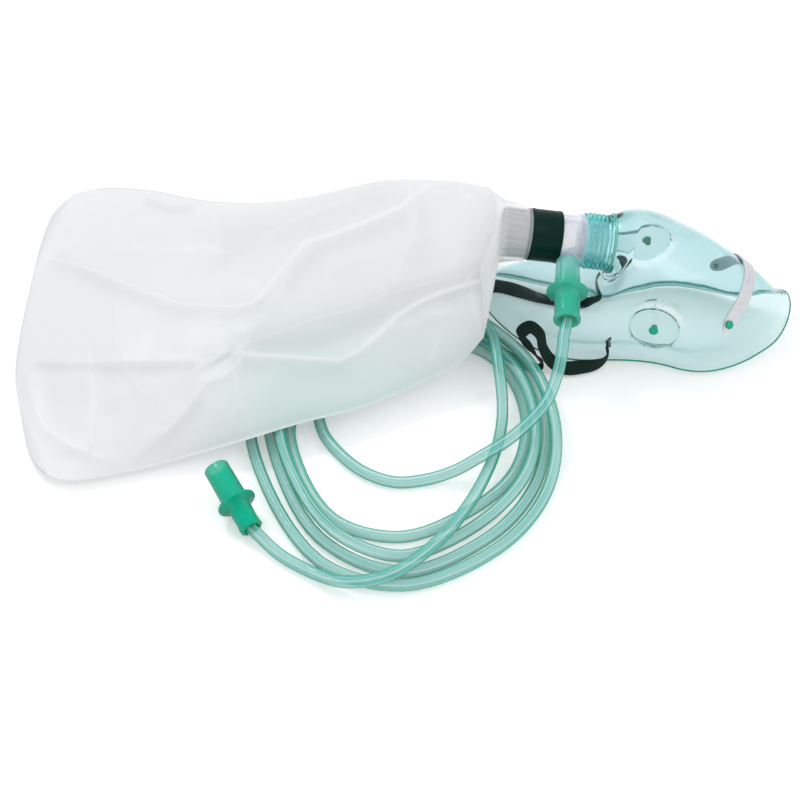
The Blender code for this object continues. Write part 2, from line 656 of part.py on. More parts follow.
def build_valve_disc(layout, name, sign, material):
    """Flexible disc that lies on the seat of an exhalation port."""
    point, normal, _ = shell_frame(VALVE_ROW, sign * VALVE_BEARING - VALVE_TWIST)
    low = VALVE_PAD_PROUD + FIT
    high = low + VALVE_THICKNESS
    hole = VALVE_PIN_DIAMETER / 2.0 + FIT
    edge = VALVE_DIAMETER / 2.0
    profile = [(hole, low), (edge - 0.0003, low), (edge, low + 0.0003), (edge, high - 0.0003),
               (edge - 0.0003, high), (hole, high)]
    mesh = turned_mesh(name, profile, 32)
    disc = add_object(name, mesh, layout, material)
    disc.matrix_local = along_axis(point, normal)
    return disc


def build_nose_clip(layout, material):
    """Metal strip that follows the shell across the nose."""
    rings = []
    for i in range(CLIP_STEPS + 1):
        bearing = -CLIP_REACH + 2.0 * CLIP_REACH * i / CLIP_STEPS
        edges = [clip_point(bearing, offset) for offset in (-CLIP_WIDTH / 2.0, CLIP_WIDTH / 2.0)]
        middle = clip_point(bearing, 0.0)
        lift = FIT + CLIP_FACET_ROOM
        low = [point + middle[1] * lift for point, _ in edges]
        high = [point + middle[1] * (lift + CLIP_THICKNESS) for point, _ in edges]
        rings.append([low[0], low[1], high[1], high[0]])
    clip = add_object("nose_clip", mesh_from_rings("nose_clip", rings), layout, material)
    for name, sign in (("near", -1.0), ("far", 1.0)):
        profile = cylinder_profile(CLIP_PIN_DIAMETER / 2.0 + 1.5 * FIT, -CUT_OVER, 2.0 * CUT_OVER)
        hole = turned_mesh("clip_hole_" + name, profile, 16, bored=False)
        hole.transform(clip_seat(sign))
        boolean(clip, add_object("clip_hole_" + name, hole, layout), "DIFFERENCE")
    return clip


def chain_point(distance):
    """A point on the line of the port, the adapter, the sleeve and the bag."""
    return port_base() + port_axis() * distance


def chain_frame(distance):
    """Transform that carries Z onto the port's axis at a distance along it."""
    return along_axis(chain_point(distance), port_axis())


def adapter_start():
    """Where the adapter's flange meets the mouth of the port."""
    return PORT_LENGTH + FIT


def sleeve_start():
    """Where the sleeve meets the body of the adapter."""
    return adapter_start() + ADAPTER_BODY_LENGTH + FIT


def inlet_direction():
    """Direction of the oxygen inlet, out of the adapter."""
    flat = math.cos(INLET_DROP)
    return Vector((-flat * math.sin(INLET_TURN), -flat * math.cos(INLET_TURN), -math.sin(INLET_DROP)))


def inlet_origin():
    """Point of the adapter's axis that the inlet points away from."""
    return chain_point(adapter_start() + INLET_ALONG)


def inlet_start():
    """How far from the adapter's axis the inlet connector begins."""
    return ADAPTER_FLANGE_DIAMETER / 2.0 + INLET_STANDOFF


def build_adapter(layout, material):
    """Clear valve adapter with a spigot at each end and the oxygen inlet."""
    bore = ADAPTER_BORE / 2.0
    end = ADAPTER_END_DIAMETER / 2.0
    body = ADAPTER_BODY_DIAMETER / 2.0
    flange = ADAPTER_FLANGE_DIAMETER / 2.0
    total = ADAPTER_BODY_LENGTH
    seat = CHECK_VALVE_SEAT
    profile = [
        (bore, -ADAPTER_GRIP),
        (end - 0.0004, -ADAPTER_GRIP),
        (end, -ADAPTER_GRIP + 0.0006),
        (end, 0.0),
        (flange, 0.0),
        (flange, ADAPTER_FLANGE_THICKNESS),
        (body, ADAPTER_FLANGE_THICKNESS + 0.0004),
        (body, total),
        (end, total),
        (end, total + ADAPTER_GRIP * 0.6),
        (end - 0.0004, total + ADAPTER_GRIP * 0.6 + 0.0004),
        (bore, total + ADAPTER_GRIP * 0.6 + 0.0004),
        (bore, seat),
        (CHECK_VALVE_HOLE, seat),
        (CHECK_VALVE_HOLE, 0.0),
        (bore, 0.0),
    ]
    body_mesh = turned_mesh("valve_adapter", profile, ROUND_STEPS)
    adapter = add_object("valve_adapter", body_mesh, layout, material)
    adapter.matrix_local = chain_frame(adapter_start())
    way = along_axis(inlet_origin(), inlet_direction())
    spigot_end = inlet_start() + INLET_SPIGOT_LENGTH
    spigot_profile = cylinder_profile(INLET_SPIGOT_DIAMETER / 2.0, bore + 0.0004, spigot_end)
    spigot = turned_mesh("spigot", spigot_profile, 20, False)
    spigot.transform(way)
    boolean(adapter, add_object("spigot", spigot, layout, material), "UNION")
    drill_profile = cylinder_profile(INLET_SPIGOT_BORE / 2.0, bore - 0.0020, spigot_end + CUT_OVER)
    drill = turned_mesh("spigot_bore", drill_profile, 16, False)
    drill.transform(way)
    boolean(adapter, add_object("spigot_bore", drill, layout), "DIFFERENCE")
    return adapter


def build_check_valve(layout, material):
    """One-way disc in the adapter that lets gas pass to the mask only."""
    edge = ADAPTER_BORE / 2.0 - 2.0 * FIT
    low = -FIT - CHECK_VALVE_THICKNESS
    profile = [(0.0012, low), (edge - 0.0002, low), (edge, low + 0.0002), (edge, -FIT), (0.0012, -FIT)]
    disc = add_object("inhalation_valve", turned_mesh("inhalation_valve", profile, 32), layout, material)
    disc.matrix_local = chain_frame(adapter_start())
    return disc


def build_sleeve(layout, material):
    """Dark green sleeve that grips the adapter and the bag's collar."""
    bore = ADAPTER_END_DIAMETER / 2.0 + FIT
    wall = bore + SLEEVE_WALL
    profile = [
        (bore, 0.0), (wall - 0.0003, 0.0), (wall, 0.0004), (wall, SLEEVE_LENGTH - 0.0004),
        (wall - 0.0003, SLEEVE_LENGTH), (bore, SLEEVE_LENGTH),
    ]
    sleeve = add_object("bag_sleeve", turned_mesh("bag_sleeve", profile, ROUND_STEPS), layout, material)
    sleeve.matrix_local = chain_frame(sleeve_start())
    return sleeve


def bag_collar_start():
    """Where the flange of the bag's collar meets the sleeve."""
    return sleeve_start() + SLEEVE_LENGTH + FIT


def build_bag_collar(layout, material):
    """Clear ribbed collar that the bag's neck is welded round."""
    bore = ADAPTER_BORE / 2.0
    end = ADAPTER_END_DIAMETER / 2.0
    flange = BAG_COLLAR_FLANGE_DIAMETER / 2.0
    grip = SLEEVE_LENGTH - ADAPTER_GRIP * 0.6 - 0.0012
    profile = [
        (bore, -grip), (end - 0.0003, -grip), (end, -grip + 0.0005), (end, 0.0),
        (flange, 0.0), (flange, BAG_COLLAR_FLANGE_THICKNESS), (end, BAG_COLLAR_FLANGE_THICKNESS + 0.0003),
    ]
    for i in range(BAG_COLLAR_RIBS):
        start = BAG_COLLAR_FLANGE_THICKNESS + 0.0008 + BAG_COLLAR_RIB_PITCH * i
        top = end + BAG_COLLAR_RIB_HEIGHT
        profile += [(end, start), (top, start + 0.0005), (top, start + 0.0011), (end, start + 0.0015)]
    profile += [(end, BAG_COLLAR_LENGTH), (bore, BAG_COLLAR_LENGTH)]
    collar = add_object("bag_collar", turned_mesh("bag_collar", profile, ROUND_STEPS), layout, material)
    collar.matrix_local = chain_frame(bag_collar_start())
    return collar


def edge_points(points, shares):
    """Points of a smooth edge at shares of its length."""
    dense = np.array(smooth_curve(points, 0.0, 16 * (len(points) - 1) + 1, 1.0 / 16.0))
    steps = np.linalg.norm(np.diff(dense, axis=0), axis=1)
    places = np.concatenate([[0.0], np.cumsum(steps)])
    wanted = np.array(shares) * places[-1]
    return np.stack([np.interp(wanted, places, dense[:, c]) for c in range(3)], axis=1)


def read_table(table, place):
    """Read a table of (place, value) rows along straight lines."""
    return float(np.interp(place, [row[0] for row in table], [row[1] for row in table]))


def bag_rings():
    """Rings of the bag: each the upper sheet from the near weld, then the lower."""
    shares = [(1.0 - math.cos(math.pi * k / (BAG_ACROSS - 1))) / 2.0 for k in range(BAG_ACROSS)]
    far = edge_points(BAG_FAR, BAG_PLACES)
    near = edge_points(BAG_NEAR, BAG_PLACES)
    left = edge_points(BAG_LEFT, shares)
    right = edge_points(BAG_RIGHT, shares)
    rings = []
    for i, s in enumerate(BAG_PLACES):
        wide = float(np.linalg.norm(far[i] - near[i]))
        inset = BAG_WELD / wide
        end = min(1.0, max(0.0, (s * BAG_FLAT_LENGTH - BAG_WELD) / 0.060))
        end = math.sin(math.pi / 2.0 * end) ** 0.7
        points = []
        for k, t in enumerate(shares):
            corners = (
                (1.0 - s) * (1.0 - t) * near[0] + s * (1.0 - t) * near[-1]
                + (1.0 - s) * t * far[0] + s * t * far[-1]
            )
            points.append((1.0 - t) * near[i] + t * far[i] + (1.0 - s) * left[k] + s * right[k] - corners)
        below = read_table(BAG_UNDER, float(points[BAG_ACROSS // 2][0]))
        upper = []
        lower = []
        for t, point in zip(shares, points):
            inner = min(1.0, max(0.0, (t - inset) / (1.0 - 2.0 * inset)))
            swell = math.sin(math.pi * inner) ** 0.62 if 0.0 < inner < 1.0 else 0.0
            x, y, z = (float(value) for value in point)
            top = z + BAG_FILL * read_table(BAG_CROWN, s) * swell * end + 0.0003
            low = z + (min(below, z - 0.0004) - z) * swell ** 0.8 * end - 0.0003
            low = max(low, 0.0006)
            upper.append(Vector((x, y, max(top, low + 0.0006))))
            lower.append(Vector((x, y, low)))
        rings.append(upper + list(reversed(lower)))
    return rings


def neck_bearings():
    """Bearings round the collar that match the points of the bag's rings."""
    steps = [math.pi * k / (BAG_ACROSS - 1) for k in range(BAG_ACROSS)]
    half_step = 0.25 * math.pi / (BAG_ACROSS - 1)
    upper = [-math.pi / 2.0 + a for a in steps]
    lower = [math.pi / 2.0 + a for a in steps]
    upper[0] += half_step
    upper[-1] -= half_step
    lower[0] += half_step
    lower[-1] -= half_step
    return upper + lower


def build_bag(layout, material):
    """Reservoir bag as one closed body with its neck round the collar."""
    end = BAG_COLLAR_FLANGE_DIAMETER / 2.0
    lip = bag_collar_start() + BAG_COLLAR_FLANGE_THICKNESS + FIT
    outer = end + BAG_NECK_WALL
    inner = ADAPTER_END_DIAMETER / 2.0 + BAG_COLLAR_RIB_HEIGHT + FIT
    tail = bag_collar_start() + BAG_COLLAR_LENGTH + FIT
    bearings = neck_bearings()
    rings = bag_rings()
    last = rings[-1]
    shoulder = port_ring(tail + BAG_SHOULDER_ROOM, outer + BAG_SHOULDER, bearings)
    for share in (0.3, 0.65, 1.0):
        rings.append([here.lerp(there, share) for here, there in zip(last, shoulder)])
    rings.append(port_ring(lip + 0.0070, outer + 0.5 * BAG_SHOULDER, bearings))
    rings.append(port_ring(lip + 0.0030, outer, bearings))
    rings.append(port_ring(lip, outer, bearings))
    rings.append(port_ring(lip, inner, bearings))
    rings.append(port_ring(tail, inner, bearings))
    mesh = mesh_from_rings("reservoir_bag", rings, flat_start=True)
    return add_object("reservoir_bag", mesh, layout, material)


def inlet_connector_profile():
    """Connector on the adapter's spigot: a cone, a flange and a tail."""
    spigot = INLET_SPIGOT_DIAMETER / 2.0 + FIT
    tube = TUBE_DIAMETER / 2.0 + FIT
    top = INLET_CONNECTOR_TOP_DIAMETER / 2.0
    waist = INLET_CONNECTOR_WAIST_DIAMETER / 2.0
    flange = INLET_CONNECTOR_FLANGE_DIAMETER / 2.0
    tail = INLET_CONNECTOR_TAIL_DIAMETER / 2.0
    at = INLET_CONNECTOR_FLANGE_ALONG
    end = INLET_CONNECTOR_LENGTH
    seat = INLET_SPIGOT_LENGTH + 0.0010
    web = end - TUBE_INSERTION - 0.0010
    return [
        (spigot, 0.0), (top - 0.0004, 0.0), (top, 0.0005),
        (waist, at - 0.0012), (waist + 0.0008, at - 0.0006),
        (flange - 0.0004, at), (flange, at + 0.0005), (flange, at + FLANGE_THICKNESS - 0.0005),
        (flange - 0.0004, at + FLANGE_THICKNESS), (tail, at + FLANGE_THICKNESS + 0.0004),
        (tail, end - 0.0025), (tail + 0.0004, end - 0.0020), (tail + 0.0004, end - 0.0004), (tail, end),
        (tube + 0.0012, end), (tube, end - 0.0020), (tube, web), (INLET_SPIGOT_BORE / 2.0, web),
        (INLET_SPIGOT_BORE / 2.0, seat), (spigot, seat),
    ]


def inlet_connector_frame():
    """Transform of the inlet connector, its top just off the adapter."""
    return along_axis(inlet_origin() + inlet_direction() * inlet_start(), inlet_direction())


def build_inlet_connector(layout, material):
    """Connector between the tubing and the adapter."""
    mesh = turned_mesh("inlet_connector", inlet_connector_profile(), SMALL_STEPS)
    connector = add_object("inlet_connector", mesh, layout, material)
    connector.matrix_local = inlet_connector_frame()
    return connector


def end_connector_profile():
    """Connector for the oxygen outlet: a barrel, a flange and a tail."""
    bore = END_CONNECTOR_BORE / 2.0
    tube = TUBE_DIAMETER / 2.0 + FIT
    barrel = END_CONNECTOR_BARREL_DIAMETER / 2.0
    flange = END_CONNECTOR_FLANGE_DIAMETER / 2.0
    tail = END_CONNECTOR_TAIL_DIAMETER / 2.0
    at = END_CONNECTOR_FLANGE_ALONG
    end = END_CONNECTOR_LENGTH
    web = end - TUBE_INSERTION - 0.0010
    return [
        (bore, 0.0), (barrel - 0.0002, 0.0), (barrel, 0.0003), (barrel + 0.0002, at - 0.0014),
        (barrel + 0.0010, at - 0.0012), (barrel + 0.0010, at - 0.0003), (flange - 0.0004, at),
        (flange, at + 0.0005), (flange, at + FLANGE_THICKNESS - 0.0004),
        (flange - 0.0004, at + FLANGE_THICKNESS), (tail + 0.0006, at + FLANGE_THICKNESS + 0.0003),
        (tail, end - 0.0026), (tail + 0.0002, end - 0.0002), (tail - 0.0002, end), (tube + 0.0004, end),
        (tube, end - 0.0012), (tube, web), (0.0018, web), (0.0018, at), (bore - 0.0010, at - 0.0040),
    ]


def end_connector_axis():
    """Direction from the tail of the end connector to its open mouth."""
    flat = math.cos(END_CONNECTOR_RISE)
    return Vector((
        flat * math.cos(END_CONNECTOR_HEADING),
        flat * math.sin(END_CONNECTOR_HEADING),
        math.sin(END_CONNECTOR_RISE),
    ))


def build_end_connector(layout, material):
    """Connector at the free end of the tubing, with teeth round its lip."""
    mesh = turned_mesh("end_connector", end_connector_profile(), SMALL_STEPS)
    connector = add_object("end_connector", mesh, layout, material)
    frame = along_axis(END_CONNECTOR_MOUTH, -end_connector_axis())
    connector.matrix_local = frame
    lip = END_CONNECTOR_TAIL_DIAMETER / 2.0
    for i in range(END_CONNECTOR_TEETH):
        turn = 2.0 * math.pi * i / END_CONNECTOR_TEETH
        tooth = box_mesh(f"tooth_{i}", (0.0009, 0.0011, 0.0022))
        tooth.transform(Matrix.Translation((lip + 0.0003, 0.0, END_CONNECTOR_LENGTH - 0.0016)))
        tooth.transform(frame @ Matrix.Rotation(turn, 4, "Z"))
        boolean(connector, add_object(f"tooth_{i}", tooth, layout, material), "UNION")
    return connector


def smooth_curve(points, start, count, step):
    """Read points from a centripetal curve through the given ones."""
    route = [np.array(point, dtype=float) for point in points]
    route = [2.0 * route[0] - route[1]] + route + [2.0 * route[-1] - route[-2]]
    found = []
    for k in range(count):
        place = min(start + k * step, len(points) - 1.0)
        i = min(int(place), len(points) - 2)
        p0, p1, p2, p3 = route[i:i + 4]
        t0 = 0.0
        t1 = t0 + np.linalg.norm(p1 - p0) ** 0.5
        t2 = t1 + np.linalg.norm(p2 - p1) ** 0.5
        t3 = t2 + np.linalg.norm(p3 - p2) ** 0.5
        t = t1 + (t2 - t1) * (place - i)
        a1 = (t1 - t) / (t1 - t0) * p0 + (t - t0) / (t1 - t0) * p1
        a2 = (t2 - t) / (t2 - t1) * p1 + (t - t1) / (t2 - t1) * p2
        a3 = (t3 - t) / (t3 - t2) * p2 + (t - t2) / (t3 - t2) * p3
        b1 = (t2 - t) / (t2 - t0) * a1 + (t - t0) / (t2 - t0) * a2
        b2 = (t3 - t) / (t3 - t1) * a2 + (t - t1) / (t3 - t1) * a3
        found.append((t2 - t) / (t2 - t1) * b1 + (t - t1) / (t2 - t1) * b2)
    return found


def tube_route():
    """Whole route of the tubing, from inside one connector to the other."""
    way = inlet_direction()
    tail = inlet_start() + INLET_CONNECTOR_LENGTH
    exit_point = inlet_origin() + way * tail
    end_way = -end_connector_axis()
    end_exit = END_CONNECTOR_MOUTH + end_way * END_CONNECTOR_LENGTH
    inside = TUBE_INSERTION - FIT
    first = [exit_point - way * inside, exit_point]
    last = [end_exit, end_exit - end_way * inside]
    return first, [Vector(point) for point in TUBE_ROUTE], last


def build_tubing(layout, material):
    """Oxygen tubing as one bevelled curve with closed ends."""
    first, middle, last = tube_route()
    points = [first[1]] + middle + [last[0]]
    steps = int(math.ceil((len(points) - 1) * TUBE_SAMPLES_PER_POINT))
    body = smooth_curve(points, 0.0, steps + 1, (len(points) - 1) / steps)
    path = [first[0]] + [Vector(point) for point in body] + [last[1]]
    curve = bpy.data.curves.new("tubing", "CURVE")
    curve.dimensions = "3D"
    curve.bevel_depth = TUBE_DIAMETER / 2.0
    curve.bevel_resolution = 3
    curve.use_fill_caps = True
    spline = curve.splines.new("POLY")
    spline.points.add(len(path) - 1)
    for knot, point in zip(spline.points, path):
        knot.co = (*point, 1.0)
    curve.materials.append(material)
    tubing = bpy.data.objects.new("tubing", curve)
    bpy.context.scene.collection.objects.link(tubing)
    tubing.parent = layout
    return tubing


def slot_passage(sign):
    """Two rows of the strap that carry it inwards, straight through a slot."""
    wall = slot_wall(sign)
    height = SLOT_BASE + SLOT_HEIGHT / 2.0
    step = -sign * STRAP_SLOT_REACH
    upright = (0.0, 0.0, sign)
    before = (SLOT_X, wall - step, height, *upright, STRAP_SLOT_SHARE)
    after = (SLOT_X, wall + step, height, *upright, STRAP_SLOT_SHARE)
    return [before, after]


def strap_route():
    """Whole route of the strap from its far tail to its near tail."""
    far = slot_passage(1.0)
    near = slot_passage(-1.0)
    return list(STRAP_TAIL_FAR) + far + list(STRAP_BETWEEN) + near + list(STRAP_TAIL_NEAR)


def build_strap(layout, material):
    """Elastic strap: a flat band that turns as it follows its route."""
    route = strap_route()
    steps = (len(route) - 1) * STRAP_STEPS
    middles = smooth_curve([row[:3] for row in route], 0.0, steps + 1, 1.0 / STRAP_STEPS)
    places = range(len(route))
    rings = []
    for k, middle in enumerate(middles):
        place = k / STRAP_STEPS
        width = Vector([float(np.interp(place, places, [row[c] for row in route])) for c in (3, 4, 5)])
        share = float(np.interp(place, places, [row[6] for row in route]))
        way = Vector(middles[min(k + 1, steps)] - middles[max(k - 1, 0)]).normalized()
        width = (width - way * width.dot(way)).normalized()
        face = way.cross(width)
        half = width * (STRAP_WIDTH * share / 2.0)
        thick = face * (STRAP_THICKNESS / 2.0)
        here = Vector(middle)
        rings.append([here - half - thick, here + half - thick, here + half + thick, here - half + thick])
    return add_object("elastic_strap", mesh_from_rings("elastic_strap", rings), layout, material)


def build_all():
    """Build every piece of the mask."""
    clear_scene()
    layout = bpy.data.objects.new("layout", None)
    bpy.context.scene.collection.objects.link(layout)
    layout.location = (-ORIGIN_X, -ORIGIN_Y, 0.0)
    aqua = make_material("mask_vinyl", (0.52, 0.82, 0.78), 0.12, alpha=0.4)
    clear = make_material("clear_plastic", (0.86, 0.86, 0.92), 0.10, alpha=0.45)
    silicone = make_material("valve_silicone", (0.70, 0.90, 0.86), 0.35, alpha=0.6)
    metal = make_material("clip_aluminium", (0.80, 0.77, 0.77), 0.35, metallic=1.0)
    fabric = make_material("strap_elastic", (0.01, 0.06, 0.045), 0.80)
    sleeve = make_material("sleeve_vinyl", (0.01, 0.09, 0.07), 0.30)
    film = make_material("bag_film", (0.84, 0.85, 0.86), 0.30, alpha=0.85)
    green = make_material("connector_vinyl", (0.02, 0.45, 0.33), 0.22, alpha=0.85)
    tube = make_material("tube_vinyl", (0.40, 0.78, 0.68), 0.18, alpha=0.6)
    build_shell(layout, aqua)
    build_valve_disc(layout, "exhalation_valve_near", -1.0, silicone)
    build_valve_disc(layout, "exhalation_valve_far", 1.0, silicone)
    build_nose_clip(layout, metal)
    build_strap(layout, fabric)
    build_adapter(layout, clear)
    build_check_valve(layout, silicone)
    build_sleeve(layout, sleeve)
    build_bag_collar(layout, clear)
    build_bag(layout, film)
    build_inlet_connector(layout, green)
    build_end_connector(layout, green)
    build_tubing(layout, tube)


build_all()
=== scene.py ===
# %% [markdown]
# # An oxygen face mask on a white table
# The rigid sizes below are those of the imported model. This scene dresses it in
# clear vinyl, frosted film, tubing and woven elastic, all from node materials
# and mesh code. Each step says what the piece is and why it is made that way.

# %% Load the frame
import math

import bmesh
import bpy
import numpy as np
from mathutils import Matrix, Vector, noise


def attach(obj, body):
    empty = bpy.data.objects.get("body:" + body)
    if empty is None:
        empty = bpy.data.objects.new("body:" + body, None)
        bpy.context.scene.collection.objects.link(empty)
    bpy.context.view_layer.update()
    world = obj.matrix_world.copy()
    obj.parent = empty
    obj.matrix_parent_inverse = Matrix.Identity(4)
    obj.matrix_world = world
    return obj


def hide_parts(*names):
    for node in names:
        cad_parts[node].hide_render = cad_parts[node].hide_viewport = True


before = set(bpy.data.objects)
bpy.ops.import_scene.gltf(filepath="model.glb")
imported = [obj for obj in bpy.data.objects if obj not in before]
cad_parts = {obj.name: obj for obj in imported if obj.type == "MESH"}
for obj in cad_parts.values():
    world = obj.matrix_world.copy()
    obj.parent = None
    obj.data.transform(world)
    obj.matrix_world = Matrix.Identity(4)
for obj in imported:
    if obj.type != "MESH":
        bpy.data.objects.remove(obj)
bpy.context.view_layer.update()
print("frame nodes:", sorted(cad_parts))

# %% [markdown]
# ## Where things lie
# The pieces were laid out around a point on the table below the bag's neck.
# at() turns such a place into the model's own frame, so the same numbers serve
# the camera, the mask and the tubing. PLANE_Y is the mask's middle plane.

# %% Places and the camera
ORIGIN = Vector((0.0015, 0.0535, 0.0))
PLANE_Y = 0.0545


def at(x, y, z):
    """A place of the layout in the model's frame, all in metres."""
    return Vector((x, y, z)) - ORIGIN


VIEW_HEIGHT = math.radians(42.0)
VIEW_DISTANCE = 0.800
FOCAL_PIXELS = 1680.0
PICTURE_SIZE = 800.0
SENSOR_WIDTH = 36.0
camera = bpy.data.objects.new("camera", bpy.data.cameras.new("camera"))
bpy.context.scene.collection.objects.link(camera)
camera.location = at(0.0, -VIEW_DISTANCE * math.cos(VIEW_HEIGHT), VIEW_DISTANCE * math.sin(VIEW_HEIGHT))
camera.rotation_euler = (math.pi / 2.0 - VIEW_HEIGHT, 0.0, 0.0)
camera.data.sensor_width = SENSOR_WIDTH
camera.data.lens = SENSOR_WIDTH * FOCAL_PIXELS / PICTURE_SIZE
camera.data.clip_start = 0.01
camera.data.clip_end = 20.0
bpy.context.scene.camera = camera
print("camera at", [round(v, 4) for v in camera.location])

# %% [markdown]
# ## Materials as sums
# A material is easier to read as a sum than as a page of links. Socket wraps a
# node's output so that + - * and ** work on it, and Shop makes the nodes. A
# value that is the same everywhere goes straight onto the shader's own socket.

# %% The two helper classes


class Socket:
    """An output of a node that can be used in sums."""

    def __init__(self, shop, plug):
        self.shop = shop
        self.plug = plug

    def sum(self, operation, *values):
        return self.shop.node("ShaderNodeMath", {"operation": operation}, dict(enumerate(values)))

    def __add__(self, other):
        return self.sum("ADD", self, other)

    def __radd__(self, other):
        return self.sum("ADD", other, self)

    def __sub__(self, other):
        return self.sum("SUBTRACT", self, other)

    def __rsub__(self, other):
        return self.sum("SUBTRACT", other, self)

    def __mul__(self, other):
        return self.sum("MULTIPLY", self, other)

    def __rmul__(self, other):
        return self.sum("MULTIPLY", other, self)

    def __pow__(self, other):
        return self.sum("POWER", self, other)

    def __rpow__(self, other):
        return self.sum("POWER", other, self)

    def sine(self):
        return self.sum("SINE", self)

    def ramp(self, low, high):
        """0 below low, 1 above high and smooth between."""
        settings = {"interpolation_type": "SMOOTHSTEP"}
        return self.shop.node("ShaderNodeMapRange", settings, {0: self, 1: low, 2: high})


class Shop:
    """Makes the nodes of one material or of the world."""

    def __init__(self, owner):
        self.owner = bpy.data.materials.new(owner) if isinstance(owner, str) else owner
        self.owner.use_nodes = True
        self.tree = self.owner.node_tree
        self.shader = self.tree.nodes.get("Principled BSDF")

    def node(self, kind, settings=None, inputs=None, output=0):
        made = self.tree.nodes.new(kind)
        for key, value in (settings or {}).items():
            setattr(made, key, value)
        for key, value in (inputs or {}).items():
            self.fill(made.inputs[key], value)
        return Socket(self, made.outputs[output])

    def fill(self, plug, value):
        if isinstance(value, Socket):
            self.tree.links.new(value.plug, plug)
        else:
            plug.default_value = value

    def mix(self, share, first, second):
        return self.node("ShaderNodeMix", {"data_type": "RGBA"}, {0: share, 6: first, 7: second}, 2)

    def place(self, output="Object"):
        return self.node("ShaderNodeTexCoord", output=output)

    def axis(self, vector, which):
        return self.node("ShaderNodeSeparateXYZ", inputs={0: vector}, output=which)

    def stretched(self, vector, scale):
        return self.node("ShaderNodeVectorMath", {"operation": "MULTIPLY"}, {0: vector, 1: scale})

    def cloud(self, vector, scale, detail=3.0, rough=0.5):
        inputs = {"Vector": vector, "Scale": scale, "Detail": detail, "Roughness": rough}
        return self.node("ShaderNodeTexNoise", inputs=inputs, output="Fac")

    def edge(self):
        """0 where one looks straight at a surface, near 1 where it turns away."""
        return self.node("ShaderNodeLayerWeight", inputs={"Blend": 0.5}, output="Facing")

    def bump(self, height, strength, distance):
        inputs = {"Height": height, "Strength": strength, "Distance": distance}
        return self.node("ShaderNodeBump", inputs=inputs)

    def absorb(self, colour, density):
        """Fill the piece with clear stuff, deeper in colour the farther light goes in it."""
        inside = self.node("ShaderNodeVolumeAbsorption", inputs={"Color": colour, "Density": density})
        self.tree.links.new(inside.plug, self.tree.nodes["Material Output"].inputs["Volume"])

    def drawn(self, name):
        """A value from 0 to 1 that the mesh code drew on the vertices."""
        return self.node("ShaderNodeAttribute", {"attribute_name": name}, output="Fac")

    def seen(self):
        """1 where the eye looks, straight or off or through something clear."""
        kinds = ("Is Camera Ray", "Is Glossy Ray", "Is Transmission Ray")
        straight, off, through_clear = [self.node("ShaderNodeLightPath", output=kind) for kind in kinds]
        return straight.sum("MAXIMUM", straight, off.sum("MAXIMUM", off, through_clear))

    def translucent(self, colour, share):
        """Let a share of the light through, as frosted film does."""
        inside = self.node("ShaderNodeBsdfTranslucent", inputs={"Color": colour})
        solid = Socket(self, self.shader.outputs[0])
        mixed = self.node("ShaderNodeMixShader", inputs={0: share, 1: solid, 2: inside})
        self.tree.links.new(mixed.plug, self.tree.nodes["Material Output"].inputs["Surface"])
        return self.owner

    def finish(self, **values):
        for key, value in values.items():
            self.fill(self.shader.inputs[key.replace("_", " ")], value)
        return self.owner


def tone(red, green, blue):
    """A colour read as 0 to 255 on a screen, as the shader needs it."""
    parts = []
    for value in (red, green, blue):
        share = value / 255.0
        parts.append(share / 12.92 if share <= 0.04045 else ((share + 0.055) / 1.055) ** 2.4)
    return (*parts, 1.0)


BLACK = (0.0, 0.0, 0.0, 1.0)
WHITE = (1.0, 1.0, 1.0, 1.0)
print("helpers ready")

# %% [markdown]
# ## The vinyls, films and fabrics
# Clear vinyl looks pale face on and deep green where one looks along the wall,
# because there is more of it in the way. One even tint would miss that. The
# mask and its port absorb light inside their real wall, so the depth of colour
# comes from the shape. Small clear pieces get it from facing, which drives the
# colour and the alpha. The film of the bag is frosted: nearly opaque, with a
# translucent share that lets the light through. The film's green is where the
# tubing lies under it, and its places are given in metres.

# %% Materials
STREAKS = 6.0
GROOVES = 5.0
STRAP_RIBS = 9.0
WEFTS_A_METRE = 1600.0
GREEN_LEFT = (-0.105, -0.050)
GREEN_RIGHT = (0.020, 0.050)
GREEN_FAR = (-0.078, -0.015)
NECK_ALONG = (0.040, 0.050)


def clear_wall(name, pale, deep, thin, thick, rough, power):
    """Clear tinted plastic: pale and thin face on, deep and thick side on."""
    shop = Shop(name)
    side = shop.edge() ** power
    mottle = shop.cloud(shop.place(), 60.0) * 0.06
    colour = shop.mix(side, pale, deep)
    alpha = side * (thick - thin) + thin + mottle
    return shop.finish(Base_Color=colour, Alpha=alpha, Roughness=rough, IOR=1.45, Specular_IOR_Level=0.35)


def clear_vinyl(name, stuff, density, rough):
    """Clear vinyl that light goes through, deeper where its way in the wall is long."""
    shop = Shop(name)
    ripple = shop.cloud(shop.place(), 22.0, 2.0)
    speck = shop.cloud(shop.place(), 300.0, 2.0)
    shop.absorb(stuff, density)
    return shop.finish(
        Base_Color=WHITE, Transmission_Weight=1.0, IOR=1.36, Roughness=speck * 0.04 + rough,
        Normal=shop.bump(ripple, 0.25, 0.0025),
    )


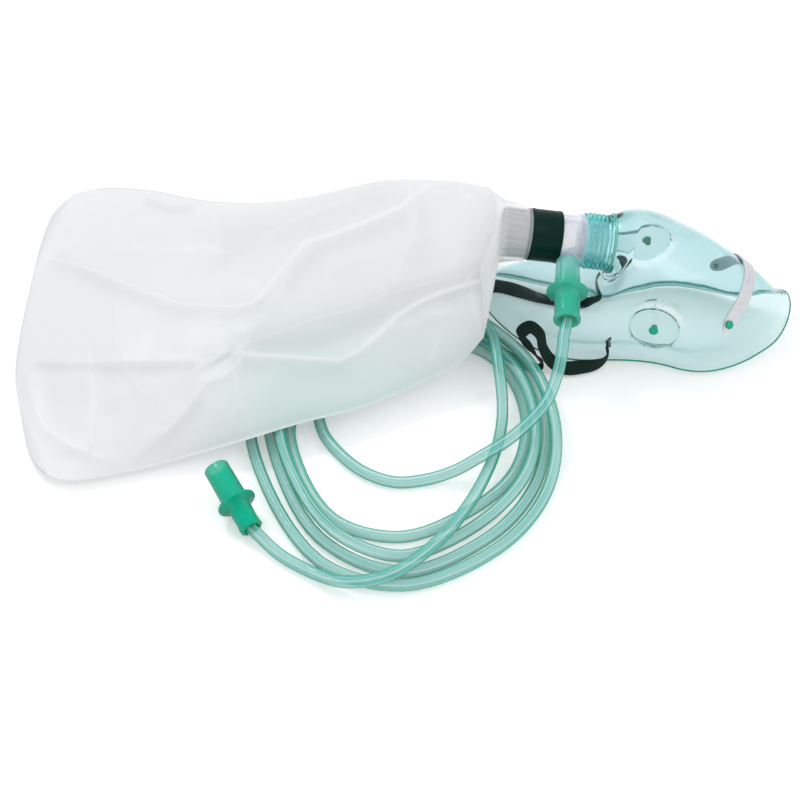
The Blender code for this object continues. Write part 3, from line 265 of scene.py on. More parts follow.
vinyl_mask = clear_vinyl("mask_vinyl", stuff=(0.0, 0.54, 0.58, 1.0), density=200.0, rough=0.02)
vinyl_port = clear_vinyl("port_vinyl", stuff=(0.0, 0.87, 0.85, 1.0), density=280.0, rough=0.03)
silicone = clear_wall(
    "valve_silicone", tone(205, 240, 232), tone(40, 160, 130), thin=0.04, thick=0.55, rough=0.2, power=2.4,
)
clear_plastic = clear_wall(
    "clear_plastic", tone(246, 249, 255), tone(204, 208, 246), thin=0.20, thick=0.82, rough=0.08, power=1.8,
)
collar_plastic = clear_wall(
    "collar_plastic", tone(208, 214, 215), tone(72, 80, 83), thin=0.42, thick=0.95, rough=0.10, power=1.1,
)
rim_vinyl = clear_wall(
    "rim_vinyl", tone(112, 206, 194), tone(48, 170, 152), thin=0.56, thick=0.74, rough=0.10, power=1.6,
)
band_vinyl = clear_wall(
    "band_vinyl", tone(150, 230, 210), tone(120, 214, 196), thin=0.80, thick=0.90, rough=0.10, power=1.6,
)


def connector_material():
    """Soft saturated green vinyl: darker side on, and painted paler where light comes through the thin walls
    of its open barrels.
    """
    shop = Shop("connector_vinyl")
    side = shop.edge() ** 2.0
    mottle = shop.cloud(shop.place(), 140.0)
    thin = shop.drawn("thin")
    pale = shop.mix(mottle * 0.5, tone(0, 200, 160), tone(0, 180, 142))
    green = shop.mix(side, pale, tone(0, 104, 78))
    # Painted light: the barrels marked thin get a paler colour and lower alpha, as light that comes through
    # them.
    colour = shop.mix(thin * 0.75, green, tone(146, 236, 226))
    return shop.finish(
        Base_Color=colour, Alpha=side * 0.16 - thin * 0.40 + 0.83, Roughness=mottle * 0.10 + 0.10,
        Specular_IOR_Level=0.10, Coat_Weight=0.08, Coat_Roughness=0.04,
        Normal=shop.bump(mottle, 0.12, 0.0004),
    )


def tube_material():
    """Clear green tubing with painted highlights: white streaks along the ridges of its star-shaped bore."""
    shop = Shop("tube_vinyl")
    uv = shop.place("UV")
    turn = shop.axis(uv, 1)
    streak = (turn * (math.tau * STREAKS)).sine() * 0.5 + 0.5
    # line is a painted highlight: white streaks along the ridges of the bore.
    line = streak.ramp(0.62, 0.98)
    drift = shop.cloud(shop.stretched(uv, (6.0, 5.0, 1.0)), 3.0)
    side = shop.edge().ramp(0.26, 0.74)
    groove = (turn * (math.tau * GROOVES) + 1.3).sine().ramp(0.75, 1.0)
    body = shop.mix(drift * 0.6, tone(112, 214, 206), tone(148, 226, 222))
    body = shop.mix(line * 0.6, body, tone(236, 250, 247))
    body = shop.mix(groove * 0.55, body, tone(20, 180, 156))
    colour = shop.mix(side, body, tone(0, 170, 134))
    return shop.finish(
        Base_Color=colour, Alpha=side * 0.44 + line * 0.10 + 0.46, Roughness=0.10, Specular_IOR_Level=0.15,
        Coat_Weight=0.2, Coat_Roughness=0.05, Normal=shop.bump(streak, 0.15, 0.0003),
    )


def film_material():
    """Frosted film that lets light through, with painted highlights along the crests of its creases and
    painted shade in its folds.
    """
    shop = Shop("bag_film")
    place = shop.place()
    along = shop.axis(place, 0)
    across = shop.axis(place, 1)
    fine = shop.cloud(place, 90.0, 6.0, 0.6)
    broad = shop.cloud(place, 14.0, 3.0)
    green_x = along.ramp(*GREEN_LEFT) * (1.0 - along.ramp(*GREEN_RIGHT))
    green_y = 1.0 - across.ramp(*GREEN_FAR)
    white = shop.mix(broad * 0.5, tone(249, 249, 250), tone(239, 239, 241))
    # Painted shade: darker where the shade value is drawn in the folds, and a grey line along the welded
    # edges.
    white = shop.mix(shop.drawn("shade") * 0.6, white, tone(214, 218, 220))
    white = shop.mix(green_x * green_y * 0.48, white, tone(206, 242, 234))
    # Painted highlight: white along the crests of the creases and folds.
    colour = shop.mix(shop.drawn("crease_highlight") * 0.9, white, tone(255, 255, 255))
    neck = along.ramp(*NECK_ALONG)
    shop.finish(
        Base_Color=colour, Roughness=fine * 0.15 + 0.34, Alpha=0.975 - neck * 0.70,
        Specular_IOR_Level=0.35, Normal=shop.bump(fine, 0.08, 0.0006),
    )
    return shop.translucent(tone(238, 244, 243), 0.22 - neck * 0.17)


def strap_material():
    """Woven elastic, dark green, with ribs along it and a weave across it."""
    shop = Shop("strap_elastic")
    uv = shop.place("UV")
    warp = (shop.axis(uv, 1) * (math.tau * STRAP_RIBS)).sine()
    weft = (shop.axis(uv, 0) * (math.tau * WEFTS_A_METRE)).sine()
    weave = warp * 0.5 + weft * 0.5
    fuzz = shop.cloud(shop.place(), 900.0, 2.0)
    colour = shop.mix(weave * 0.3 + fuzz * 0.5, tone(2, 26, 22), tone(10, 56, 47))
    return shop.finish(
        Base_Color=colour, Roughness=0.82, Specular_IOR_Level=0.25, Sheen_Weight=0.10, Sheen_Roughness=0.5,
        Normal=shop.bump(weave + fuzz, 0.6, 0.0003),
    )


def sleeve_material():
    """Dark green sleeve with a faint bloom."""
    shop = Shop("sleeve_vinyl")
    broad = shop.cloud(shop.place(), 120.0)
    colour = shop.mix(broad * 0.5, tone(0, 36, 30), tone(0, 50, 42))
    return shop.finish(
        Base_Color=colour, Roughness=broad * 0.2 + 0.25, Specular_IOR_Level=0.05,
        Coat_Weight=0.10, Coat_Roughness=0.22, Normal=shop.bump(broad, 0.15, 0.0004),
    )


def clip_material():
    """Rolled aluminium strip, brushed across."""
    shop = Shop("clip_aluminium")
    brushed = shop.cloud(shop.stretched(shop.place(), (1.0, 0.08, 1.0)), 900.0, 2.0)
    broad = shop.cloud(shop.place(), 90.0)
    colour = shop.mix(brushed, tone(194, 195, 200), tone(224, 225, 229))
    return shop.finish(
        Base_Color=colour, Metallic=0.75, Roughness=broad * 0.2 + 0.30,
        Normal=shop.bump(brushed, 0.15, 0.0002),
    )


connector_vinyl = connector_material()
tube_vinyl = tube_material()
bag_film = film_material()
strap_elastic = strap_material()
sleeve_vinyl = sleeve_material()
clip_aluminium = clip_material()
print("materials:", len(bpy.data.materials))

# %% [markdown]
# ## Small mesh tools
# Nearly everything here is a stack of rings: turned collars, the lofted dome,
# the bag and the tube. One function skins them. A turned profile is a list of
# radius and height, and a transform carries it onto the axis it belongs to.
# Where a material has to know a place, draw() leaves a value on each vertex.

# %% Rings, turning and objects
TURN_STEPS = 96


def add_piece(name, mesh, material, replaced=()):
    """Link a mesh as a piece of the object on its body."""
    piece = bpy.data.objects.new(name, mesh)
    bpy.context.scene.collection.objects.link(piece)
    mesh.materials.append(material)
    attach(piece, "root")
    if replaced:
        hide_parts(*replaced)
    return piece


def skin(name, rings, closed=False, caps=False, angle=40.0, uv=None):
    """Skin rings of points. closed joins the last ring to the first, caps fills both ends."""
    mesh = bpy.data.meshes.new(name)
    bm = bmesh.new()
    loops = [[bm.verts.new(point) for point in ring] for ring in rings]
    layer = bm.loops.layers.uv.new("UVMap") if uv else None
    count = len(loops[0])
    total = len(loops) if closed else len(loops) - 1
    for r in range(total):
        here = loops[r]
        there = loops[(r + 1) % len(loops)]
        for i in range(count):
            j = (i + 1) % count
            face = bm.faces.new((here[i], here[j], there[j], there[i]))
            face.smooth = True
            if layer:
                corners = ((r, i), (r, i + 1), (r + 1, i + 1), (r + 1, i))
                for loop, corner in zip(face.loops, corners):
                    loop[layer].uv = (uv[corner[0]], corner[1] / count)
    if caps:
        bm.faces.new(list(reversed(loops[0])))
        bm.faces.new(loops[-1])
    bmesh.ops.recalc_face_normals(bm, faces=bm.faces)
    bm.to_mesh(mesh)
    bm.free()
    mesh.set_sharp_from_angle(angle=math.radians(angle))
    return mesh


def bearings_of(steps):
    """Even bearings once round, in radians."""
    return [math.tau * i / steps for i in range(steps)]


def add_turned(name, profile, place, material, replaced=(), steps=TURN_STEPS, closed=True):
    """A piece turned about an axis; place carries Z onto that axis."""
    rings = []
    for radius, height in profile:
        flat_ring = [Vector((radius * math.cos(a), radius * math.sin(a), height)) for a in bearings_of(steps)]
        rings.append([place @ point for point in flat_ring])
    return add_piece(name, skin(name, rings, closed=closed, caps=not closed), material, replaced)


def size_of(piece):
    """Size of a piece in metres, to print."""
    return [round(v, 4) for v in piece.dimensions]


def draw(mesh, title, values):
    """Draw one value for each vertex, for a material to read."""
    layer = mesh.attributes.new(title, "FLOAT", "POINT")
    layer.data.foreach_set("value", np.asarray(values, dtype=float).ravel())


def facing(point, direction):
    """A transform that carries Z onto a direction at a point."""
    return Matrix.Translation(point) @ direction.to_track_quat("Z", "Y").to_matrix().to_4x4()


def through(points, steps):
    """A centripetal curve through points, with so many steps for each span."""
    route = [np.array(point, dtype=float) for point in points]
    route = [2.0 * route[0] - route[1]] + route + [2.0 * route[-1] - route[-2]]
    found = []
    for i in range(len(points) - 1):
        p0, p1, p2, p3 = (route[i + k] for k in range(4))
        t1 = np.linalg.norm((p1 - p0)[:3]) ** 0.5
        t2 = t1 + np.linalg.norm((p2 - p1)[:3]) ** 0.5
        t3 = t2 + np.linalg.norm((p3 - p2)[:3]) ** 0.5
        last = i == len(points) - 2
        for k in range(steps + 1 if last else steps):
            t = t1 + (t2 - t1) * k / steps
            a1 = (t1 - t) / t1 * p0 + t / t1 * p1
            a2 = (t2 - t) / (t2 - t1) * p1 + (t - t1) / (t2 - t1) * p2
            a3 = (t3 - t) / (t3 - t2) * p2 + (t - t2) / (t3 - t2) * p3
            b1 = (t2 - t) / t2 * a1 + t / t2 * a2
            b2 = (t3 - t) / (t3 - t1) * a2 + (t - t1) / (t3 - t1) * a3
            found.append((t2 - t) / (t2 - t1) * b1 + (t - t1) / (t2 - t1) * b2)
    return found


print("mesh tools ready")

# %% [markdown]
# ## The line of collars
# The port, the adapter, the sleeve and the bag's collar share one axis that
# rises eight degrees towards the bag. A distance along it places each of them.

# %% The port's axis and the inlet
FIT = 0.0003
PORT_X = 0.1015
PORT_HEIGHT = 0.0520
PORT_TILT = math.radians(8.0)
PORT_LENGTH = 0.0145
PORT_BORE = 0.0113
PORT_WALL = 0.0013
ADAPTER_BODY = 0.0106
SLEEVE_LENGTH = 0.0145
INLET_PLACE = 0.0066
INLET_DROP = math.radians(18.0)
INLET_TURN = math.radians(3.5)
INLET_START = 0.0132
INLET_LENGTH = 0.0341
port_axis = Vector((-math.cos(PORT_TILT), 0.0, math.sin(PORT_TILT)))
port_top = Vector((math.sin(PORT_TILT), 0.0, math.cos(PORT_TILT)))
port_side = Vector((0.0, 1.0, 0.0))
port_base = at(PORT_X, PLANE_Y, PORT_HEIGHT)
adapter_start = PORT_LENGTH + FIT
sleeve_start = adapter_start + ADAPTER_BODY + FIT
collar_start = sleeve_start + SLEEVE_LENGTH + FIT
inlet_way = Vector((
    -math.cos(INLET_DROP) * math.sin(INLET_TURN),
    -math.cos(INLET_DROP) * math.cos(INLET_TURN),
    -math.sin(INLET_DROP),
))
inlet_origin = port_base + port_axis * (adapter_start + INLET_PLACE)
tube_exit = inlet_origin + inlet_way * (INLET_START + INLET_LENGTH)


def port_place(distance):
    """The transform for a turned piece that starts so far along the port's axis."""
    return facing(port_base + port_axis * distance, port_axis)


def port_point(distance, radius, bearing):
    """A point round the port's axis, with bearing 0 at its top."""
    middle = port_base + port_axis * distance
    return middle + port_top * (radius * math.cos(bearing)) + port_side * (radius * math.sin(bearing))


def port_ring(distance, radius, bearings):
    """A ring of such points."""
    return [port_point(distance, radius, bearing) for bearing in bearings]


print("tubing leaves at", [round(v, 4) for v in tube_exit])

# %% [markdown]
# ## The tubing
# The tubing is 2.4 m of soft vinyl that was wound five times round and pushed
# under the bag. The same points shape the model's plain bar. A smooth curve
# through them is swept with a round section, and its UVs run along and round
# the tube so that the white streaks along its bore, painted highlights, follow it.

# %% Tubing
TUBE_DIAMETER = 0.0055
TUBE_SIDES = 20
TUBE_SPAN_STEPS = 8
TUBE_INSERT = 0.0077
TABLE_GAP = 0.0001
TUBE_ROUTE = (
    (0.0757, 0.0017, 0.0382), (0.0745, -0.0060, 0.0345), (0.0719, -0.0152, 0.0285),
    (0.0669, -0.0262, 0.0230), (0.0589, -0.0353, 0.0190), (0.0487, -0.0441, 0.0155),
    (0.0373, -0.0511, 0.0128), (0.0243, -0.0542, 0.0058), (0.0108, -0.0573, 0.0032),
    (-0.0027, -0.0583, 0.0029), (-0.0163, -0.0519, 0.0029), (-0.0274, -0.0401, 0.0029),
    (-0.0357, -0.0254, 0.0029), (-0.0380, -0.0060, 0.0029), (-0.0280, 0.0200, 0.0029),
    (-0.0080, 0.0360, 0.0029), (0.0150, 0.0400, 0.0029), (0.0386, 0.0318, 0.0042),
    (0.0525, 0.0140, 0.0036), (0.0589, -0.0172, 0.0029), (0.0510, -0.0532, 0.0029),
    (0.0291, -0.0776, 0.0029), (0.0000, -0.0921, 0.0029), (-0.0294, -0.0813, 0.0029),
    (-0.0510, -0.0268, 0.0029), (-0.0460, -0.0020, 0.0029), (-0.0370, 0.0270, 0.0029),
    (-0.0120, 0.0450, 0.0040), (0.0150, 0.0485, 0.0070), (0.0403, 0.0298, 0.0112),
    (0.0554, 0.0109, 0.0096), (0.0622, -0.0263, 0.0088), (0.0554, -0.0598, 0.0076),
    (0.0341, -0.0848, 0.0034), (0.0009, -0.1033, 0.0029), (-0.0285, -0.0940, 0.0086),
    (-0.0542, -0.0381, 0.0092), (-0.0530, -0.0010, 0.0060), (-0.0440, 0.0330, 0.0029),
    (-0.0170, 0.0540, 0.0034), (0.0170, 0.0570, 0.0048), (0.0434, 0.0415, 0.0050),
    (0.0609, 0.0184, 0.0048), (0.0674, -0.0227, 0.0029), (0.0605, -0.0602, 0.0029),
    (0.0395, -0.0915, 0.0029), (0.0009, -0.1125, 0.0029), (-0.0343, -0.0933, 0.0029),
    (-0.0595, -0.0308, 0.0029), (-0.0610, 0.0020, 0.0029), (-0.0490, 0.0410, 0.0029),
    (-0.0200, 0.0630, 0.0032), (0.0180, 0.0665, 0.0076), (0.0455, 0.0389, 0.0118),
    (0.0636, 0.0117, 0.0104), (0.0717, -0.0297, 0.0082), (0.0651, -0.0657, 0.0034),
    (0.0418, -0.0992, 0.0029), (0.0017, -0.1199, 0.0029), (-0.0342, -0.1068, 0.0029),
    (-0.0681, -0.0335, 0.0029), (-0.0670, 0.0060, 0.0029), (-0.0530, 0.0480, 0.0029),
    (-0.0230, 0.0730, 0.0040), (0.0170, 0.0760, 0.0126), (0.0426, 0.0322, 0.0178),
    (0.0468, 0.0052, 0.0150), (0.0475, -0.0197, 0.0046), (0.0360, -0.0650, 0.0083),
    (0.0163, -0.1004, 0.0092), (-0.0050, -0.1199, 0.0092), (-0.0222, -0.1222, 0.0074),
    (-0.0387, -0.1120, 0.0029), (-0.0516, -0.1027, 0.0031),
)
END_MOUTH = at(-0.0817, -0.0606, 0.0140)
END_LENGTH = 0.0350
END_HEADING = math.radians(121.0)
END_RISE = math.radians(14.5)
end_axis = Vector((
    math.cos(END_RISE) * math.cos(END_HEADING),
    math.cos(END_RISE) * math.sin(END_HEADING),
    math.sin(END_RISE),
))
tube_radius = TUBE_DIAMETER / 2.0
tube_end = END_MOUTH - end_axis * END_LENGTH
knots = [tube_exit] + [at(*point) for point in TUBE_ROUTE] + [tube_end]
path = [Vector(point) for point in through(knots, TUBE_SPAN_STEPS)]
for point in path:
    point.z = max(point.z, tube_radius + TABLE_GAP)
path = [tube_exit - inlet_way * TUBE_INSERT] + path + [tube_end + end_axis * TUBE_INSERT]


def tube_rings(points, radius, steps):
    """Rings round a path that turn with it as little as they can."""
    across = Vector((0.0, 0.0, 1.0))
    rings = []
    for k, point in enumerate(points):
        way = (points[min(k + 1, len(points) - 1)] - points[max(k - 1, 0)]).normalized()
        across = (across - way * across.dot(way)).normalized()
        other = way.cross(across)
        spokes = [(radius * math.cos(a), radius * math.sin(a)) for a in bearings_of(steps)]
        rings.append([point + across * u + other * v for u, v in spokes])
    return rings


lengths = [0.0]
for here, there in zip(path, path[1:]):
    lengths.append(lengths[-1] + (there - here).length)
tube_mesh = skin("oxygen_tubing", tube_rings(path, tube_radius, TUBE_SIDES), caps=True, uv=lengths)
tubing = add_piece("oxygen_tubing", tube_mesh, tube_vinyl, ("tubing",))
print("tubing length", round(lengths[-1], 4), "m")

# %% [markdown]
# ## Connectors
# Both connectors are soft green vinyl mouldings. The one on the mask widens
# towards its flange and ends in a lipped tail. The free one has a smooth
# barrel, a wide flange and a small toothed lip where the tube goes in. The
# value called thin marks their open barrels, which let more light through.

# %% Inlet connector
INLET_BARREL = 0.0120
tube_bore = tube_radius + FIT
inlet_profile = [
    (0.0037, 0.0), (0.0050, 0.0), (0.0055, 0.0004), (0.0056, 0.0010), (0.0057, 0.0050), (0.0062, 0.0140),
    (0.0064, 0.0154), (0.0070, 0.0158), (0.0079, 0.0159), (0.0080, 0.0163), (0.0080, 0.0168),
    (0.0094, 0.0170), (0.0098, 0.0173), (0.0098, 0.0180), (0.0094, 0.0184), (0.0072, 0.0186),
    (0.0065, 0.0189), (0.0062, 0.0196), (0.0060, 0.0230), (0.0060, 0.0300), (0.0061, 0.0312),
    (0.0064, 0.0318), (0.0065, 0.0328), (0.0063, 0.0338), (0.0059, 0.0341), (0.0048, 0.0339),
    (0.0041, 0.0330), (0.0034, 0.0318), (tube_bore, 0.0310), (tube_bore, 0.0251), (0.0020, 0.0251),
    (0.0020, 0.0115), (0.0037, 0.0115),
]
inlet_place = facing(inlet_origin + inlet_way * INLET_START, inlet_way)
inlet_piece = add_turned(
    "inlet_fitting", inlet_profile, inlet_place, connector_vinyl, ("inlet_connector",),
)
inlet_thin = [1.0 if height < INLET_BARREL else 0.2 for radius, height in inlet_profile]
draw(inlet_piece.data, "thin", np.repeat(inlet_thin, TURN_STEPS))
print("inlet fitting", size_of(inlet_piece))

# %% End connector
END_BARREL = 0.0156
END_BORE = 0.0050
GRIP_TEETH = 12.0
GRIP_DEPTH = 0.0004
GRIP_FROM = 0.0325
GRIP_TO = 0.0348
GRIP_RADIUS = 0.0045
end_place = facing(END_MOUTH, -end_axis)
end_profile = [
    (0.0045, 0.0003), (0.0048, 0.0), (0.0055, 0.0), (0.0058, 0.0004), (0.0058, 0.0060), (0.0060, 0.0175),
    (0.0062, 0.0182), (0.0068, 0.0184), (0.0069, 0.0192), (0.0080, 0.0195), (0.0087, 0.0197),
    (0.0089, 0.0201), (0.0088, 0.0207), (0.0084, 0.0210), (0.0062, 0.0212), (0.0054, 0.0217),
    (0.0052, 0.0230), (0.0049, 0.0300), (0.0047, 0.0326), (0.0049, 0.0336), (0.0047, 0.0347),
    (0.0042, 0.0350), (0.0034, 0.0348), (tube_bore, 0.0338), (tube_bore, 0.0261), (0.0018, 0.0261),
    (0.0018, 0.0196), (0.0036, 0.0155), (0.0045, 0.0150),
]
end_rings = []
for radius, height in end_profile:
    toothed = GRIP_FROM < height < GRIP_TO and radius > GRIP_RADIUS
    ring = []
    for a in bearings_of(TURN_STEPS):
        reach = radius + (max(0.0, math.sin(GRIP_TEETH * a)) * GRIP_DEPTH if toothed else 0.0)
        ring.append(end_place @ Vector((reach * math.cos(a), reach * math.sin(a), height)))
    end_rings.append(ring)
end_mesh = skin("end_fitting", end_rings, closed=True)
end_thin = [1.0 if height < END_BARREL and radius < END_BORE else 0.0 for radius, height in end_profile]
draw(end_mesh, "thin", np.repeat(end_thin, TURN_STEPS))
end_piece = add_piece("end_fitting", end_mesh, connector_vinyl, ("end_connector",))
print("end fitting", size_of(end_piece))

# %% [markdown]
# ## The mask
# The shell is one loft: rings from the wavy rim up the dome to the port. Each
# row of the table gives the chin end and the nose end of a ring, along and up,
# then its width, its dip and how round it is. The wall is clear, so the valve
# seats are drawn into the loft itself: points near a valve are drawn onto its
# flat seat, inside and out. The chin end is bent a little to the far side.

# %% The shell's shape
CHIN_X = 0.0360
MASK_LENGTH = 0.1570
MASK_WIDTH = 0.0720
MASK_DEPTH = 0.0650
MASK_WALL = 0.0015
SHELL_ROWS = (
    (0.000, 0.165, 0.993, 0.300, 1.000, 0.194, 0.00),
    (0.025, 0.185, 0.974, 0.304, 0.903, 0.1745, 0.02),
    (0.045, 0.232, 0.953, 0.328, 0.880, 0.1565, 0.06),
    (0.083, 0.300, 0.904, 0.452, 0.975, 0.138, 0.18),
    (0.146, 0.377, 0.834, 0.590, 0.990, 0.088, 0.38),
    (0.223, 0.438, 0.755, 0.723, 0.920, 0.038, 0.62),
    (0.299, 0.485, 0.666, 0.845, 0.825, -0.008, 0.82),
    (0.363, 0.523, 0.573, 0.958, 0.694, -0.031, 0.94),
    (0.395, 0.554, 0.478, 1.015, 0.528, -0.023, 1.00),
)
LAST_ROW = len(SHELL_ROWS) - 1.0
RIM_ROW = 0.02
NOSE_TURN = 6
NOSE_BLEND = 1.6
RIM_FULLNESS = (
    (-1.00, 1.10), (-0.80, 1.06), (-0.50, 0.93), (-0.30, 0.82), (-0.10, 0.77),
    (0.10, 0.84), (0.30, 1.02), (0.45, 1.08), (0.60, 1.06), (0.70, 1.04),
    (0.80, 1.05), (0.90, 1.20), (1.00, 1.32),
)
RIM_LEAN = 0.17
LEAN_FROM = 0.2
LEAN_SPAN = 0.6
CHIN_BEND = 0.0255
CHIN_BEND_LENGTH = 0.0590
VALVE_ROW = 4.05
VALVE_BEARING = math.radians(79.0)
VALVE_TWIST = math.radians(2.4)
VALVE_RADIUS = 0.0114
SEAT_RADIUS = VALVE_RADIUS + 0.0022
SEAT_BLEND = 0.0014
SEAT_LIFT = 0.0012
SEAT_REACH = 0.010


def between(table, place):
    """Read a table of rows at a fractional row number, on a smooth curve."""
    rows = [np.array(row, dtype=float) for row in table]
    last = len(rows) - 1
    place = min(max(place, 0.0), float(last))
    i = min(int(place), last - 1)
    t = place - i
    before = rows[i - 1] if i > 0 else 2.0 * rows[0] - rows[1]
    after = rows[i + 2] if i + 2 <= last else 2.0 * rows[last] - rows[last - 1]
    start = rows[i]
    end = rows[i + 1]
    return 0.5 * (
        2.0 * start
        + (end - before) * t
        + (2.0 * before - 5.0 * start + 4.0 * end - after) * t ** 2
        + (3.0 * start - before - 3.0 * end + after) * t ** 3
    )


def fullness(along):
    """Fullness of the rim's outline from -1, the chin, to 1, the nose."""
    places = [row[0] for row in RIM_FULLNESS]
    i = min(max(1, int(np.searchsorted(places, along))), len(places) - 1)
    part = (along - places[i - 1]) / (places[i] - places[i - 1])
    return float(between([(row[1],) for row in RIM_FULLNESS], i - 1 + part)[0])


def shell_rise(along, chin_up, nose_up, dip, roundness):
    """Height of a row as a share of the depth, at a place from -1 to 1."""
    middle = (chin_up + nose_up) / 2.0 - dip
    slope = (nose_up - chin_up) / 2.0
    plain = middle + slope * along + dip * along ** 2
    if along <= 0.0:
        return plain
    late = middle + slope * along * (1.0 - along) ** 2 + (nose_up - middle) * along ** NOSE_TURN
    return late + (plain - late) * min(1.0, NOSE_BLEND * roundness)


def shell_point(row, bearing):
    """Point of the shell's outside; bearing 0 is the nose and pi the chin."""
    chin_at, chin_up, nose_at, nose_up, half, dip, roundness = between(SHELL_ROWS, row)
    along = math.cos(bearing)
    share = (along + 1.0) / 2.0
    x = CHIN_X + MASK_LENGTH * (chin_at + (nose_at - chin_at) * share)
    z = MASK_DEPTH * shell_rise(along, chin_up, nose_up, dip, roundness)
    swell = fullness(along) * (1.0 - roundness) + roundness
    lean = RIM_LEAN * (1.0 - roundness) * min(1.0, max(0.0, (along - LEAN_FROM) / LEAN_SPAN))
    across = math.sin(bearing)
    y = PLANE_Y + 0.5 * MASK_WIDTH * half * (across * swell - abs(across) * lean)
    y += CHIN_BEND * (max(0.0, CHIN_X + CHIN_BEND_LENGTH - x) / CHIN_BEND_LENGTH) ** 2
    return at(x, y, z)


def shell_frame(row, bearing):
    """Point and outward normal of the shell."""
    step = 0.01
    point = shell_point(row, bearing)
    up = shell_point(row + step, bearing) - shell_point(row - step, bearing)
    round_way = shell_point(row, bearing + step) - shell_point(row, bearing - step)
    normal = round_way.cross(up).normalized()
    if normal.dot(point - Vector((point.x, PLANE_Y - ORIGIN.y, 0.0))) < 0.0:
        normal = -normal
    return point, normal


valve_seats = {
    "near": facing(*shell_frame(VALVE_ROW, -VALVE_BEARING - VALVE_TWIST)),
    "far": facing(*shell_frame(VALVE_ROW, VALVE_BEARING - VALVE_TWIST)),
}


def on_seat(point, lift):
    """Draw a point near a valve onto the flat seat of that valve."""
    for seat in valve_seats.values():
        local = seat.inverted() @ point
        radius = math.hypot(local.x, local.y)
        if radius < SEAT_RADIUS and abs(local.z) < SEAT_REACH:
            share = min(1.0, max(0.0, (SEAT_RADIUS - radius) / SEAT_BLEND))
            share = share * share * (3.0 - 2.0 * share)
            local.z += (SEAT_LIFT + lift - local.z) * share
            return seat @ local
    return point


print("valve seats ready")

# %% The shell
ROWS_UP = 64
STEPS_ROUND = 240
NECK_FLARE = ((0.0, 0.0014), (0.0007, 0.0005), (0.0014, 0.0))
INNER_FLARE = ((0.0007, 0.0), (-0.0015, 0.0007))
bearings = bearings_of(STEPS_ROUND)
outside = []
within = []
for i in range(ROWS_UP + 1):
    row = LAST_ROW * (i / ROWS_UP)
    points = [shell_point(row, a) for a in bearings]
    normals = [shell_frame(max(row, RIM_ROW), a)[1] for a in bearings]
    outside.append([on_seat(point, 0.0) for point in points])
    within.append([on_seat(point - n * MASK_WALL, -MASK_WALL) for point, n in zip(points, normals)])
wall = PORT_BORE + PORT_WALL
neck = [port_ring(distance, wall + flare, bearings) for distance, flare in NECK_FLARE]
inner_neck = [port_ring(distance, PORT_BORE + flare, bearings) for distance, flare in INNER_FLARE]
shell_rings = outside + neck + inner_neck + list(reversed(within[:-1]))
shell_mesh = skin("mask_dome", shell_rings, closed=True, angle=60.0)
add_piece("mask_dome", shell_mesh, vinyl_mask, ("mask_shell",))
print("dome faces", len(shell_mesh.polygons))

# %% The ribbed port
RIBS = 5
RIB_START = 0.0022
PORT_RIB_PITCH = 0.0022
PORT_RIB = (
    (0.0, 0.0), (0.0006, 0.0004), (0.0009, 0.0008), (0.0009, 0.0012), (0.0005, 0.0017), (0.0, 0.0020),
)
collar = [(wall + 0.0002, 0.0014), (wall, 0.0018)]
for i in range(RIBS):
    start = RIB_START + PORT_RIB_PITCH * i
    collar += [(wall + rise, start + run) for rise, run in PORT_RIB]
collar += [
    (wall, 0.0138), (wall + 0.0005, 0.0140), (wall + 0.0005, 0.0144), (wall, PORT_LENGTH),
    (PORT_BORE, PORT_LENGTH), (PORT_BORE, 0.0008),
]
port_piece = add_turned("mask_port", collar, port_place(0.0), vinyl_port)
root_ring = [
    (wall + 0.0009, 0.0), (wall + 0.0019, 0.0003), (wall + 0.0021, 0.0009), (wall + 0.0017, 0.0015),
    (wall + 0.0009, 0.0017),
]
add_turned("port_root_ring", root_ring, port_place(0.0), rim_vinyl)
print("port", size_of(port_piece))

# %% [markdown]
# ## Valve discs, pins and the rim
# The discs are thin clear silicone, so what shows is a fine green line round
# each and the small solid knob at the middle. The near rim of the shell looks
# dark because one looks along its wall, so a thin bead of denser vinyl lies in
# it. The far rim is seen through the dome as a soft band, so a ribbon lies
# inside the far wall.

# %% Valves
VALVE_PIN_STEPS = 40
low = SEAT_LIFT + FIT
disc_profile = [
    (0.0018, low), (VALVE_RADIUS - 0.0002, low), (VALVE_RADIUS, low + 0.0002),
    (VALVE_RADIUS, low + 0.0006), (VALVE_RADIUS - 0.0003, low + 0.0008),
    (VALVE_RADIUS - 0.0012, low + 0.0006), (0.0040, low + 0.0006), (0.0034, low + 0.0009),
    (0.0018, low + 0.0009),
]
pin_profile = [
    (0.0002, -0.0006), (0.0014, -0.0004), (0.0014, 0.0022), (0.0021, 0.0025), (0.0023, 0.0031),
    (0.0020, 0.0038), (0.0012, 0.0042), (0.0002, 0.0043),
]
seat_profile = [
    (VALVE_RADIUS + 0.0002, 0.0010), (VALVE_RADIUS + 0.0008, 0.0011), (VALVE_RADIUS + 0.0009, 0.0016),
    (VALVE_RADIUS + 0.0005, 0.0019), (VALVE_RADIUS + 0.0002, 0.0016),
]
for side, seat in valve_seats.items():
    valve = "exhalation_valve_" + side
    add_turned("valve_flap_" + side, disc_profile, seat, silicone, (valve,))
    add_turned(
        "valve_pin_" + side, pin_profile, seat, connector_vinyl, steps=VALVE_PIN_STEPS,
        closed=False,
    )
    ring_piece = add_turned("valve_seat_" + side, seat_profile, seat, vinyl_port)
    print(valve, "on a seat of", size_of(ring_piece))

